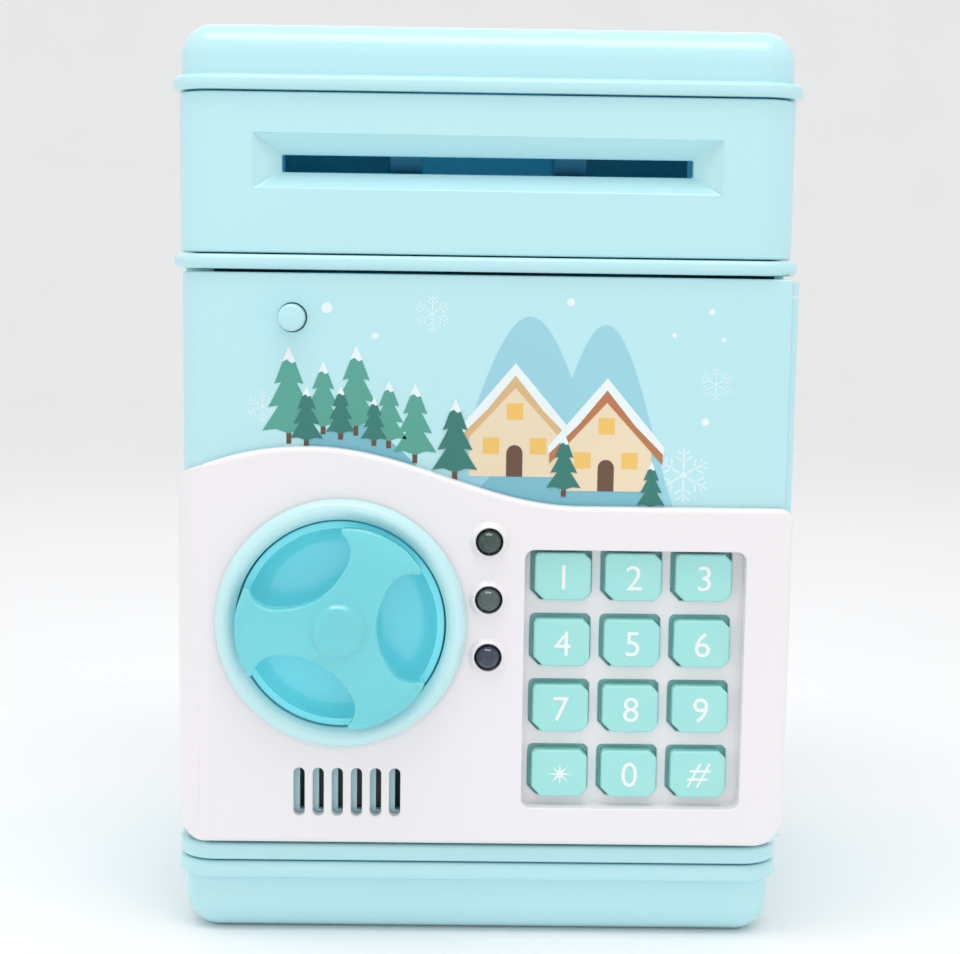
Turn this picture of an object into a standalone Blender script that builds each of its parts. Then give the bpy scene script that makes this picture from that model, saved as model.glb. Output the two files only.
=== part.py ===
"""Toy cash-machine savings bank, built from its separate parts.

Every size below is in millimetres and is turned into metres where a mesh is made. +Z is up, the
front faces -Y, and the origin is in the middle of the footprint, on the surface the bank stands on.
"""

import math

import bmesh
import bpy
from mathutils import Matrix, Vector

MM = 0.001
GAP = 0.3

# Case: outer widths, front and back planes, and the levels of its layers.
FLANGE_W = 128.5
CASE_W = 125.8
FRONT = -46.0
BACK = 60.0
HEIGHT = 188.5
WALL = 2.0
CORNER_R = 8.0
BEAD = 1.3
BASE_W = 124.8
BASE_TOP = 15.9
BASE_BEAD_Z = 12.2
BASE_EDGE_R = 6.6
SILL_Z = (16.2, 19.8)
DOOR_Z = (20.8, 138.9)
BAND_Z = (139.5, 142.5)
HEAD_Z = (142.8, 174.7)
FLANGE_Z = (175.0, 177.9)
CAP_W = 124.7
CAP_EDGE_R = 6.6
SCREW_X = 48.0
SCREW_Y = (-34.0, 46.0)

# Door, a hollow slab in front of the case walls, hinged on its right edge.
HINGE_X = 62.0
HINGE_Y = -42.5
BARREL_R = 2.1
PIN_R = 0.75
PIN_HOLE_R = 1.1
BARREL_Z = (25.0, 135.2)
KNUCKLES_Z = ((21.6, 24.7), (135.5, 138.3))
DOOR_X = (-62.5, 62.3)
DOOR_SKIN = 1.8
DOOR_BACK = -33.5
COVER_Y = (-33.2, -32.0)
CASE_MOUTH = -31.0
LIP_X = -57.0
LIP_BACK = -29.0

# White fascia over the lower door: face plane, half width and the wave along its top edge.
FACE = -49.0
FASCIA_BACK = -46.3
FASCIA_HALF_W = 63.6
FASCIA_CORNER_R = 6.0
WAVE_CREST = (-35.7, 103.9)
WAVE_TROUGH = (20.0, 92.2)
WAVE_LEFT_R = 62.0

# Dial and the lock behind it.
DIAL = (-29.0, 67.6)
RING_R = 25.8
RING_BORE_R = 21.6
RING_TUBE_R = 23.7
WHEEL_R = 21.0
KNOB_FRONT = -60.0
HUB_R = 5.5
SPOKE_Y = (-58.8, -54.0)
SHAFT_R = 1.9
CRANK_Y = (-30.6, -28.8)
CRANK_R = 9.0
CRANK_PIN_OFFSET = 2.5
CRANK_PIN_R = 1.2
BOLT_X = (-55.5, -22.0)
BOLT_Y = (-28.2, -24.9)
BOLT_Z = (60.3, 69.3)
PLUNGER_R = 1.1
PLUNGER_TIP_X = -18.9

# Keypad, lamps, grille and push button.
WELL_X = (8.7, 54.2)
WELL_Z = (28.8, 83.2)
WELL_FLOOR = -45.0
KEY_X = (16.6, 31.15, 45.7)
KEY_Z = (77.5, 63.6, 49.7, 35.8)
KEY_NAMES = ("key_1", "key_2", "key_3", "key_4", "key_5", "key_6",
             "key_7", "key_8", "key_9", "key_star", "key_0", "key_hash")
KEY_SIZE = (11.6, 9.9)
KEY_FACE = -47.3
KEY_SHIFT = (0.3, -0.35)
LED_X = 1.3
LED_Z = (84.9, 72.9, 60.9)
LED_R = 2.5
GRILLE_X = -37.6
GRILLE_PITCH = 3.98
GRILLE_COUNT = 6
GRILLE_Z = (26.7, 36.9)
GRILLE_W = 2.3
BUTTON = (-39.3, 129.9)
BUTTON_R = 2.75
BUTTON_FRONT = -49.7

# Note slot and the feed behind it.
SLOT_HALF_W = 41.7
SLOT_Z = (159.1, 162.5)
SLOT_MOUTH_HALF_W = 47.0
SLOT_MOUTH_Z = (155.6, 166.4)
SLOT_DEPTH = 4.0
ROLLER_Y = -28.0
ROLLER_R = 6.5
ROLLER_W = 6.5
ROLLER_X = (-20.1, 14.1)
DRIVE_Z = 152.9
PINCH_Z = 166.5
FEED_SHAFT_R = 1.5
GEAR_X = (46.2, 49.4)
GEAR_MODULE = 0.8
ROLLER_TEETH = 16
IDLE_TEETH = 20
PINION_TEETH = 10
IDLE_AT = (-13.5, 152.0)
MOTOR_AT = (-1.4, 151.2)
MOTOR_R = 5.8
DECK_Z = (143.2, 144.8)
GUIDE_Z = (157.6, 158.7)
DROP_X = 44.0
DROP_Y = (13.0, 50.0)

# Coin slot and chute, and the battery bay in the back wall.
COIN_Y = 33.5
COIN_SLOT = (30.0, 3.5)
CELL_R = 7.25
CELL_LENGTH = 50.5
CELL_Z = (30.8, 46.0, 61.2)
CELL_Y = 49.9
BAY_X = 29.0
BAY_Z = (22.0, 70.0)
TAB_X = 6.3
TAB_TOP = 77.3

# Colours as linear red, green and blue.
PALE_BLUE = (0.50, 0.80, 0.85)
WHITE = (0.88, 0.85, 0.87)
MINT = (0.34, 0.75, 0.69)
CYAN = (0.10, 0.58, 0.68)
TEAL = (0.02, 0.20, 0.22)
STEEL = (0.55, 0.56, 0.58)
BLACK = (0.02, 0.02, 0.025)
RUBBER = (0.05, 0.11, 0.12)
BOARD_GREEN = (0.02, 0.16, 0.07)
CELL_BLUE = (0.05, 0.09, 0.25)
LED_TINTS = ((0.02, 0.22, 0.12), (0.12, 0.22, 0.20), (0.03, 0.07, 0.22))


def clear_scene():
    for obj in list(bpy.data.objects):
        bpy.data.objects.remove(obj, do_unlink=True)


def new_collection(name):
    collection = bpy.data.collections.new(name)
    bpy.context.scene.collection.children.link(collection)
    return collection


clear_scene()
PARTS = new_collection("savings_bank")
CUTTERS = new_collection("cutters")


def make_material(name, colour, roughness, metallic):
    material = bpy.data.materials.new(name)
    material.use_nodes = True
    shader = material.node_tree.nodes["Principled BSDF"]
    shader.inputs["Base Color"].default_value = (*colour, 1.0)
    shader.inputs["Roughness"].default_value = roughness
    shader.inputs["Metallic"].default_value = metallic
    return material


def place(bm, matrix):
    """Moves a shape drawn in millimetres and turns it into metres."""
    bmesh.ops.transform(bm, matrix=Matrix.Scale(MM, 4) @ matrix, verts=bm.verts)
    return bm


def box(low, high, radius=0.0, along="Z", keep=None, top_radius=0.0, segments=3):
    """A block. radius rounds its edges along one axis, where keep(point) is true, and top_radius
    then rounds the rim of its top face, or of its bottom face when it is negative."""
    bm = bmesh.new()
    bmesh.ops.create_cube(bm, size=1.0)
    size = [b - a for a, b in zip(low, high)]
    middle = Vector([(a + b) / 2 for a, b in zip(low, high)])
    stretch = Matrix.Diagonal((*size, 1.0))
    bmesh.ops.transform(bm, matrix=Matrix.Translation(middle) @ stretch, verts=bm.verts)
    axis = "XYZ".index(along)
    if radius:
        chosen = []
        for edge in bm.edges:
            start, end = (vert.co for vert in edge.verts)
            runs = abs(start[axis] - end[axis]) > 1e-4
            if runs and (keep is None or keep((start + end) / 2)):
                chosen.append(edge)
        bevel(bm, chosen, radius, segments)
    if top_radius:
        level = high[2] if top_radius > 0 else low[2]
        rim = [e for e in bm.edges if all(abs(v.co.z - level) < 1e-4 for v in e.verts)]
        bevel(bm, rim, abs(top_radius), segments)
    return place(bm, Matrix())


def bevel(bm, edges, radius, segments):
    bmesh.ops.bevel(bm, geom=edges, offset=radius, segments=segments, profile=0.5,
                    affect="EDGES", clamp_overlap=True)


def rod(start, axis, length, radius, segments=20, end_radius=None):
    """A cylinder or cone from start along axis ("X", "Y" or "Z")."""
    bm = bmesh.new()
    far_radius = radius if end_radius is None else end_radius
    bmesh.ops.create_cone(bm, cap_ends=True, segments=segments, radius1=radius,
                          radius2=far_radius, depth=length)
    direction = Vector([float(letter == axis) for letter in "XYZ"])
    turn = direction.to_track_quat("Z", "Y").to_matrix().to_4x4()
    middle = Vector(start) + direction * length / 2
    return place(bm, Matrix.Translation(middle) @ turn)


def outline(points, low, high, facing="Y"):
    """A flat outline made solid between two planes: drawn as (x, z) and facing Y, or as (y, z)
    and facing X."""
    curve = bpy.data.curves.new("outline", "CURVE")
    curve.dimensions = "2D"
    curve.fill_mode = "BOTH"
    curve.extrude = abs(high - low) / 2
    spline = curve.splines.new("POLY")
    spline.points.add(len(points) - 1)
    for point, (across, up) in zip(spline.points, points):
        point.co = (across, up, 0.0, 1.0)
    spline.use_cyclic_u = True
    holder = bpy.data.objects.new("outline", curve)
    CUTTERS.objects.link(holder)
    graph = bpy.context.evaluated_depsgraph_get()
    mesh = bpy.data.meshes.new_from_object(holder.evaluated_get(graph))
    bm = bmesh.new()
    bm.from_mesh(mesh)
    bmesh.ops.remove_doubles(bm, verts=bm.verts, dist=1e-4)
    bmesh.ops.recalc_face_normals(bm, faces=bm.faces)
    bpy.data.objects.remove(holder)
    bpy.data.curves.remove(curve)
    bpy.data.meshes.remove(mesh)
    middle = (low + high) / 2
    if facing == "Y":
        return place(bm, Matrix.Translation((0, middle, 0)) @ Matrix.Rotation(math.pi / 2, 4, "X"))
    axes = Matrix(((0, 0, 1, middle), (1, 0, 0, 0), (0, 1, 0, 0), (0, 0, 0, 1)))
    return place(bm, axes)


def together(shapes):
    """Several shapes that don't touch, as one."""
    bm = bmesh.new()
    for shape in shapes:
        mesh = bpy.data.meshes.new("shape")
        shape.to_mesh(mesh)
        shape.free()
        bm.from_mesh(mesh)
        bpy.data.meshes.remove(mesh)
    return bm


def helper(name, shape):
    mesh = bpy.data.meshes.new(name)
    shape.to_mesh(mesh)
    shape.free()
    obj = bpy.data.objects.new(name, mesh)
    obj.hide_render = True
    obj.display_type = "WIRE"
    CUTTERS.objects.link(obj)
    return obj


def shape_with(obj, steps):
    """Adds Boolean steps, each an operation and a shape: + joins, - cuts and & keeps the overlap."""
    operations = {"+": "UNION", "-": "DIFFERENCE", "&": "INTERSECT"}
    for index, (sign, shape) in enumerate(steps):
        modifier = obj.modifiers.new(f"step_{index}", "BOOLEAN")
        modifier.operation = operations[sign]
        modifier.solver = "EXACT"
        modifier.object = helper(f"{obj.name}_step_{index}", shape)


def smooth(mesh):
    mesh.shade_smooth()
    mesh.set_sharp_from_angle(angle=math.radians(35))


def add_part(name, shape, look, steps=(), origin=(0.0, 0.0, 0.0), parent=None):
    """A sub-part with its own material, its origin on its joint's axis when it moves."""
    colour, roughness, metallic = look
    at = Vector(origin) * MM
    bmesh.ops.translate(shape, vec=-at, verts=shape.verts)
    mesh = bpy.data.meshes.new(name)
    shape.to_mesh(mesh)
    shape.free()
    smooth(mesh)
    mesh.materials.append(make_material(name, colour, roughness, metallic))
    obj = bpy.data.objects.new(name, mesh)
    PARTS.objects.link(obj)
    attach(obj, at, parent)
    shape_with(obj, steps)
    return obj


def attach(obj, at, parent):
    obj.location = at
    if parent:
        obj.parent = parent
        obj.location = at - parent.location


def add_turned(name, profile, look, centre, parent, steps):
    """A ring turned from a (radius, distance in front of the fascia's face) profile."""
    mesh = bpy.data.meshes.new(name)
    points = [(radius * MM, 0.0, height * MM) for radius, height in profile]
    count = len(points)
    mesh.from_pydata(points, [(i, (i + 1) % count) for i in range(count)], [])
    obj = bpy.data.objects.new(name, mesh)
    PARTS.objects.link(obj)
    mesh.materials.append(make_material(name, *look))
    attach(obj, Vector((centre[0], FACE, centre[1])) * MM, parent)
    obj.rotation_euler = (math.pi / 2, 0.0, 0.0)
    screw = obj.modifiers.new("turn", "SCREW")
    screw.axis = "Z"
    screw.steps = steps
    screw.render_steps = steps
    screw.use_merge_vertices = True
    screw.merge_threshold = 0.00001
    screw.use_smooth_shade = True
    return obj


def gloss(colour):
    return (colour, 0.25, 0.0)


def satin(colour):
    return (colour, 0.5, 0.0)


def metal(colour):
    return (colour, 0.3, 1.0)


def arc(centre, radius, start_deg, end_deg, count):
    points = []
    for i in range(count + 1):
        angle = math.radians(start_deg + (end_deg - start_deg) * i / count)
        points.append((centre[0] + radius * math.cos(angle), centre[1] + radius * math.sin(angle)))
    return points


# Case


def base_tray():
    half = BASE_W / 2
    front = FRONT + 0.5
    back = BACK - 1.8
    body = box((-half, front, 0), (half, back, BASE_TOP), CORNER_R, top_radius=-BASE_EDGE_R)
    bead = box((-64.0, FRONT - 1.1, BASE_BEAD_Z), (64.0, BACK - 0.2, BASE_TOP), CORNER_R + 1)
    hollow = box((-half + 2.4, front + 2.4, 2.4), (half - 2.4, back - 2.4, 20), CORNER_R - 2)
    posts = [rod((x, y, 2.0), "Z", BASE_TOP - 2.0, 4.0) for x, y in screw_places()]
    holes = [rod((x, y, -1), "Z", 20, 1.5, 12) for x, y in screw_places()]
    sinks = [rod((x, y, -1), "Z", 4.9, 3.2, 16) for x, y in screw_places()]
    steps = [("+", bead), ("-", hollow), ("+", together(posts)), ("-", together(sinks)),
             ("-", together(holes))]
    add_part("base_tray", body, gloss(PALE_BLUE), steps)


def screw_places():
    return [(x, y) for x in (-SCREW_X, SCREW_X) for y in SCREW_Y]


def case_screws():
    for index, (x, y) in enumerate(screw_places(), 1):
        head = rod((x, y, 1.6), "Z", 2.0, 2.8, 16)
        shank = rod((x, y, 3.2), "Z", 16.0, 1.15, 10)
        cross = box((x - 1.6, y - 0.35, 0), (x + 1.6, y + 0.35, 2.5))
        add_part(f"case_screw_{index}", head, metal(STEEL), [("+", shank), ("-", cross)])


def body_shell():
    """The walls behind the door, with the sill under it, the band over it and the hinge knuckles."""
    half = CASE_W / 2
    back = BACK - BEAD

    def at_back(point):
        return point.y > 0

    walls = box((-half, CASE_MOUTH, SILL_Z[0]), (half, back, BAND_Z[1]), CORNER_R, keep=at_back)
    sill = box((-63.85, FRONT - 0.7, SILL_Z[0]), (63.85, back + 0.9, SILL_Z[1]), CORNER_R + 0.5)
    band = box((-64.2, FRONT - 1.2, BAND_Z[0]), (64.2, BACK, BAND_Z[1]), CORNER_R + 0.8)
    inner = half - WALL
    room = box((-inner, LIP_BACK, SILL_Z[1]), (inner, back - WALL, BAND_Z[0]), CORNER_R - 2,
               keep=at_back)
    mouth = box((LIP_X, CASE_MOUTH - 20, SILL_Z[1]), (inner, LIP_BACK + 5, BAND_Z[0]))
    drop = box((-DROP_X, DROP_Y[0], 130), (DROP_X, DROP_Y[1], 150), 3)
    bay = box((-BAY_X, 50, BAY_Z[0]), (BAY_X, 65, BAY_Z[1]))
    tab = box((-TAB_X, 50, BAY_Z[1] - 5), (TAB_X, 65, TAB_TOP))
    holes = [rod((x, y, 10), "Z", 12, 1.5, 12) for x, y in screw_places()]
    steps = [("+", sill), ("+", band), ("-", room), ("-", mouth), ("-", drop), ("-", bay),
             ("-", tab), ("-", together(holes))]
    for low, high in KNUCKLES_Z:
        arm = box((HINGE_X - 1.1, HINGE_Y, low), (half, CASE_MOUTH + 2, high))
        steps.append(("+", arm))
        steps.append(("+", rod((HINGE_X, HINGE_Y, low), "Z", high - low, BARREL_R)))
    pin_hole = rod((HINGE_X, HINGE_Y, 21), "Z", 117.8, PIN_HOLE_R, 12)
    steps.append(("-", pin_hole))
    add_part("body_shell", walls, gloss(PALE_BLUE), steps)


def hinge_pin():
    pin = rod((HINGE_X, HINGE_Y, 21.8), "Z", 116.2, PIN_R, 12)
    add_part("hinge_pin", pin, metal(STEEL))


def head_shell():
    half = CASE_W / 2
    back = BACK - BEAD
    low, high = HEAD_Z
    walls = box((-half, FRONT, low), (half, back, high), CORNER_R)
    room = box((-half + 2.2, FRONT + 2.2, low - 2), (half - 2.2, back - 2.2, high + 2), CORNER_R - 2)
    frame = box((-49, FRONT + 1.5, 153.2), (49, FRONT + 4.8, 168.8))
    mouth = slot_mouth()
    slot = box((-SLOT_HALF_W, FRONT + 3, SLOT_Z[0]), (SLOT_HALF_W, FRONT + 8, SLOT_Z[1]))
    add_part("head_shell", walls, gloss(PALE_BLUE),
             [("-", room), ("+", frame), ("-", mouth), ("-", slot)])


def slot_mouth():
    """The slot's sloped mouth: a block whose inner end is narrowed to the slot."""
    bm = bmesh.new()
    bmesh.ops.create_cube(bm, size=2.0)
    mouth_middle = sum(SLOT_MOUTH_Z) / 2
    slot_middle = sum(SLOT_Z) / 2
    for vert in bm.verts:
        outer = vert.co.y < 0
        half_w = SLOT_MOUTH_HALF_W if outer else SLOT_HALF_W
        heights = SLOT_MOUTH_Z if outer else SLOT_Z
        middle = mouth_middle if outer else slot_middle
        half_h = (heights[1] - heights[0]) / 2
        y = FRONT - 0.001 if outer else FRONT + SLOT_DEPTH
        vert.co = (vert.co.x * half_w, y, middle + vert.co.z * half_h)
    return place(bm, Matrix())


def top_cap():
    half = CAP_W / 2
    low, high = FLANGE_Z
    flange = box((-FLANGE_W / 2, FRONT - BEAD, low), (FLANGE_W / 2, BACK, high), CORNER_R + 1)
    dome = box((-half, FRONT + 0.6, low + 1), (half, BACK - 1.9, HEIGHT), CORNER_R,
               top_radius=CAP_EDGE_R, segments=4)
    room = box((-half + 2.3, FRONT + 3, low - 2), (half - 2.3, BACK - 4.2, HEIGHT - 2.2),
               CORNER_R - 2, top_radius=4)
    half_x = COIN_SLOT[0] / 2
    half_y = COIN_SLOT[1] / 2
    slot = box((-half_x, COIN_Y - half_y, 180), (half_x, COIN_Y + half_y, 195))
    add_part("top_cap", flange, gloss(PALE_BLUE), [("+", dome), ("-", room), ("-", slot)])


def coin_chute():
    tube = box((-17, COIN_Y - 3.6, 141), (17, COIN_Y + 3.6, HEIGHT - 2.2 - 0.4), 1.0)
    channel = box((-15.6, COIN_Y - 2.3, 130), (15.6, COIN_Y + 2.3, 195))
    add_part("coin_chute", tube, satin(WHITE), [("-", channel)])


# Note feed


def feed_deck():
    """The floor of the head, with the two posts that carry the shafts and the idle gear's peg."""
    plate = box((-60.4, FRONT + 2.5, DECK_Z[0]), (60.4, BACK - 3.8, DECK_Z[1]), CORNER_R - 2)
    drop = box((-DROP_X, DROP_Y[0], 140), (DROP_X, DROP_Y[1], 150), 3)
    gear_well = box((GEAR_X[0] - 0.6, -24, 140), (GEAR_X[1] + 0.8, -3, 150))
    low = DECK_Z[1] - 0.5
    posts = [box((-45.5, -34, low), (-43, -22, 172)), box((43, -34, low), (45.5, -22, 172))]
    gear_plate = box((43, -23, low), (45.5, 6, 157.2))
    peg = rod((44, *IDLE_AT), "X", 6.2, 1.2, 14)
    shaft_holes = [rod((x, ROLLER_Y, z), "X", 6, FEED_SHAFT_R + GAP, 16)
                   for x in (-47, 41) for z in (DRIVE_Z, PINCH_Z)]
    motor_hole = rod((41, *MOTOR_AT), "X", 6, 1.5, 14)
    steps = [("-", together([drop, gear_well])), ("+", together(posts)), ("+", gear_plate), ("+", peg),
             ("-", together(shaft_holes + [motor_hole]))]
    add_part("feed_deck", plate, satin(WHITE), steps)


def bill_guide():
    """The plate that notes slide over, open over the rollers and the note sensor."""
    half = 42.5
    low, high = GUIDE_Z
    plate = box((-half, FRONT + 5.1, low), (half, 10, high))
    legs = [box((x, y, DECK_Z[1] + GAP), (x + 2, y + 3.5, low + 0.5))
            for x in (-half, half - 2) for y in (-40, 6)]
    windows = [box((-23, -36, 150), (-9.8, -20, 165)), box((10.3, -36, 150), (23.5, -20, 165)),
               box((-4.9, -37.5, 150), (-2.9, -34, 165)), box((-0.2, -37.5, 150), (1.8, -34, 165))]
    steps = [("+", leg) for leg in legs] + [("-", together(windows))]
    add_part("bill_guide", plate, gloss(TEAL), steps)


def note_sensor():
    body = box((-6.5, -39, DECK_Z[1] + GAP), (3.5, -32.5, GUIDE_Z[0] - GAP))
    add_part("note_sensor", body, satin(BLACK))


def feed_motor():
    can = rod((19, *MOTOR_AT), "X", 23.6, MOTOR_R, 24)
    bore = rod((36, *MOTOR_AT), "X", 10, 1.3, 12)
    add_part("feed_motor", can, metal(STEEL), [("-", bore)])


def gear_outline(centre, teeth, phase):
    """Straight-sided teeth, thin enough to leave play in the mesh. phase is one tooth's angle."""
    pitch_r = GEAR_MODULE * teeth / 2
    root_r = pitch_r - 1.15 * GEAR_MODULE
    tip_r = pitch_r + 0.75 * GEAR_MODULE
    step = 2 * math.pi / teeth
    points = []
    for tooth in range(teeth):
        middle = phase + tooth * step
        for share, radius in ((-0.28, root_r), (-0.11, tip_r), (0.11, tip_r), (0.28, root_r)):
            angle = middle + share * step
            points.append((centre[0] + radius * math.cos(angle),
                           centre[1] + radius * math.sin(angle)))
    return points


def mesh_phase(phase, teeth, centre, next_teeth, next_centre):
    """The tooth angle of the next gear in the train that puts its gap over this gear's tooth."""
    towards = math.atan2(next_centre[1] - centre[1], next_centre[0] - centre[0])
    turned = (teeth / next_teeth) * (phase - towards)
    return towards + math.pi - turned + math.pi / next_teeth


def gear_train():
    drive_at = (ROLLER_Y, DRIVE_Z)
    idle_phase = mesh_phase(0.0, ROLLER_TEETH, drive_at, IDLE_TEETH, IDLE_AT)
    pinion_phase = mesh_phase(idle_phase, IDLE_TEETH, IDLE_AT, PINION_TEETH, MOTOR_AT)
    middle_x = sum(GEAR_X) / 2
    for name, at, teeth, phase, bore_r in (
        ("roller_gear", drive_at, ROLLER_TEETH, 0.0, FEED_SHAFT_R + GAP),
        ("idle_gear", IDLE_AT, IDLE_TEETH, idle_phase, 1.2 + GAP),
    ):
        wheel = outline(gear_outline(at, teeth, phase), *GEAR_X, facing="X")
        bore = rod((GEAR_X[0] - 1, *at), "X", 6, bore_r, 16)
        add_part(name, wheel, satin(WHITE), [("-", bore)], origin=(middle_x, *at))
    pinion = outline(gear_outline(MOTOR_AT, PINION_TEETH, pinion_phase), *GEAR_X, facing="X")
    shaft = rod((38, *MOTOR_AT), "X", 9.5, 1.0, 12)
    add_part("motor_pinion", pinion, metal(STEEL), [("+", shaft)], origin=(middle_x, *MOTOR_AT))


def feed_rollers(shaft_name, roller_name, z, right_end):
    middle = (0.0, ROLLER_Y, z)
    shaft = rod((-46.5, ROLLER_Y, z), "X", right_end + 46.5, FEED_SHAFT_R, 16)
    add_part(shaft_name, shaft, metal(STEEL), origin=middle)
    for side, x in zip(("left", "right"), ROLLER_X):
        tyre = rod((x, ROLLER_Y, z), "X", ROLLER_W, ROLLER_R, 28)
        bore = rod((x - 1, ROLLER_Y, z), "X", ROLLER_W + 2, FEED_SHAFT_R + GAP, 16)
        add_part(f"{roller_name}_{side}", tyre, satin(RUBBER), [("-", bore)], origin=middle)


# Battery bay


def battery_box():
    outer = box((-BAY_X - 1.5, 41, BAY_Z[0] - 1.5), (BAY_X + 1.5, 56.4, BAY_Z[1] + 1.5))
    inner = box((-CELL_LENGTH / 2 - 1.2, 42.4, 22.8), (CELL_LENGTH / 2 + 1.2, 60, 69.2))
    screw_post = box((-TAB_X + 1, 47, BAY_Z[1]), (TAB_X - 1, 56.4, TAB_TOP))
    hole = rod((0, 45, 74.3), "Y", 15, 1.5, 12)
    add_part("battery_box", outer, satin(BLACK), [("+", screw_post), ("-", inner), ("-", hole)])


def battery_cells():
    for index, z in enumerate(CELL_Z, 1):
        side = 1 if index % 2 else -1
        start = -CELL_LENGTH / 2
        button = rod((side * (CELL_LENGTH / 2 - 1.2) - 1.2, CELL_Y, z), "X", 2.4, 2.7, 16)
        body = rod((start + (0 if side > 0 else 1.2), CELL_Y, z), "X", CELL_LENGTH - 1.2, CELL_R, 24)
        add_part(f"battery_cell_{index}", body, satin(CELL_BLUE), [("+", button)])


def battery_cover():
    low, high = BAY_Z
    origin = (0.0, BACK - 2.0, 46.0)
    plate = box((-BAY_X + GAP, 57.5, low + GAP), (BAY_X - GAP, 59.2, high - GAP), 1.5, along="Y")
    tab = box((-TAB_X + GAP, 57.5, high - 4), (TAB_X - GAP, 59.2, TAB_TOP - GAP), 1.5, along="Y")
    hole = rod((0, 50, 74.3), "Y", 15, 1.5, 12)
    sink = rod((0, 58.4, 74.3), "Y", 5, 2.5, 16)
    add_part("battery_cover", plate, gloss(PALE_BLUE), [("+", tab), ("-", sink), ("-", hole)],
             origin=origin)
    head = rod((0, 58.7, 74.3), "Y", 0.9, 2.1, 16)
    shank = rod((0, 49.5, 74.3), "Y", 9.5, 1.15, 10)
    add_part("battery_cover_screw", head, metal(STEEL), [("+", shank)], origin=origin)


# Door


def door_hinge():
    hinge = bpy.data.objects.new("door_hinge", None)
    hinge.location = Vector((HINGE_X, HINGE_Y, 0.0)) * MM
    PARTS.objects.link(hinge)
    return hinge


def front_left(point):
    return point.x < 0 and point.y < (FRONT + DOOR_BACK) / 2


def knuckle_notches():
    """Room in the door's edge for the two knuckle arms that reach it from the case."""
    left = HINGE_X - 3.2
    right = HINGE_X + 6
    front = HINGE_Y - BARREL_R - GAP
    back = DOOR_BACK + 10
    bottom = box((left, front, DOOR_Z[0] - 5), (right, back, KNUCKLES_Z[0][1] + GAP))
    top = box((left, front, KNUCKLES_Z[1][0] - GAP), (right, back, DOOR_Z[1] + 5))
    return [bottom, top]


def door_panel(hinge):
    left, right = DOOR_X
    low, high = DOOR_Z
    slab = box((left, FRONT, low), (right, DOOR_BACK, high), CORNER_R - 0.5, keep=front_left)
    room = box((left + 2, FRONT + DOOR_SKIN, low + 1.8), (right - 2, -20, high - 1.8),
               CORNER_R - 2.5, keep=front_left)
    barrel = rod((HINGE_X, HINGE_Y, BARREL_Z[0]), "Z", BARREL_Z[1] - BARREL_Z[0], BARREL_R, 20)
    pin_hole = rod((HINGE_X, HINGE_Y, 15), "Z", 130, PIN_HOLE_R, 12)
    openings = [rod((DIAL[0], FRONT - 2, DIAL[1]), "Y", 6, RING_TUBE_R + GAP, 36),
                rod((BUTTON[0], FRONT - 2, BUTTON[1]), "Y", 6, BUTTON_R + GAP, 20),
                box((WELL_X[0] - 1.8, FRONT - 2, WELL_Z[0] - 1.8),
                    (WELL_X[1] + 1.8, FRONT + 4, WELL_Z[1] + 1.8))]
    openings += [rod((LED_X, FRONT - 2, z), "Y", 6, LED_R + 0.7, 20) for z in LED_Z]
    for index in range(GRILLE_COUNT):
        x = GRILLE_X + 0.55 + index * GRILLE_PITCH
        openings.append(box((x - 0.6, FRONT - 2, GRILLE_Z[0] + 0.6),
                            (x + 0.6, FRONT + 4, GRILLE_Z[1] - 0.6)))
    steps = [("-", room), ("-", together(knuckle_notches())), ("+", barrel), ("-", pin_hole),
             ("-", together(openings))]
    add_part("door_panel", slab, gloss(PALE_BLUE), steps,
             origin=(HINGE_X, HINGE_Y, 0), parent=hinge)


def fascia_outline():
    """The fascia seen from the front, anticlockwise from its lower right corner."""
    half = FASCIA_HALF_W
    low = DOOR_Z[0]
    r = FASCIA_CORNER_R
    crest_x, crest_z = WAVE_CREST
    trough_x, trough_z = WAVE_TROUGH
    points = arc((half - r, low + r), r, -90, 0, 4)
    points += arc((half - 2, trough_z - 2), 2, 0, 90, 3)
    steps = 16
    for i in range(steps + 1):
        share = i / steps
        x = trough_x + (crest_x - trough_x) * share
        lift = (1 - math.cos(math.pi * share)) / 2
        points.append((x, trough_z + (crest_z - trough_z) * lift))
    for i in range(1, 8):
        x = crest_x + (-half - crest_x) * i / 7
        drop = WAVE_LEFT_R - math.sqrt(WAVE_LEFT_R**2 - (x - crest_x) ** 2)
        points.append((x, crest_z - drop))
    points += arc((-half + r, low + r), r, 180, 270, 4)
    return points


def key_places():
    return [(x, z) for z in KEY_Z for x in KEY_X]


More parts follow.
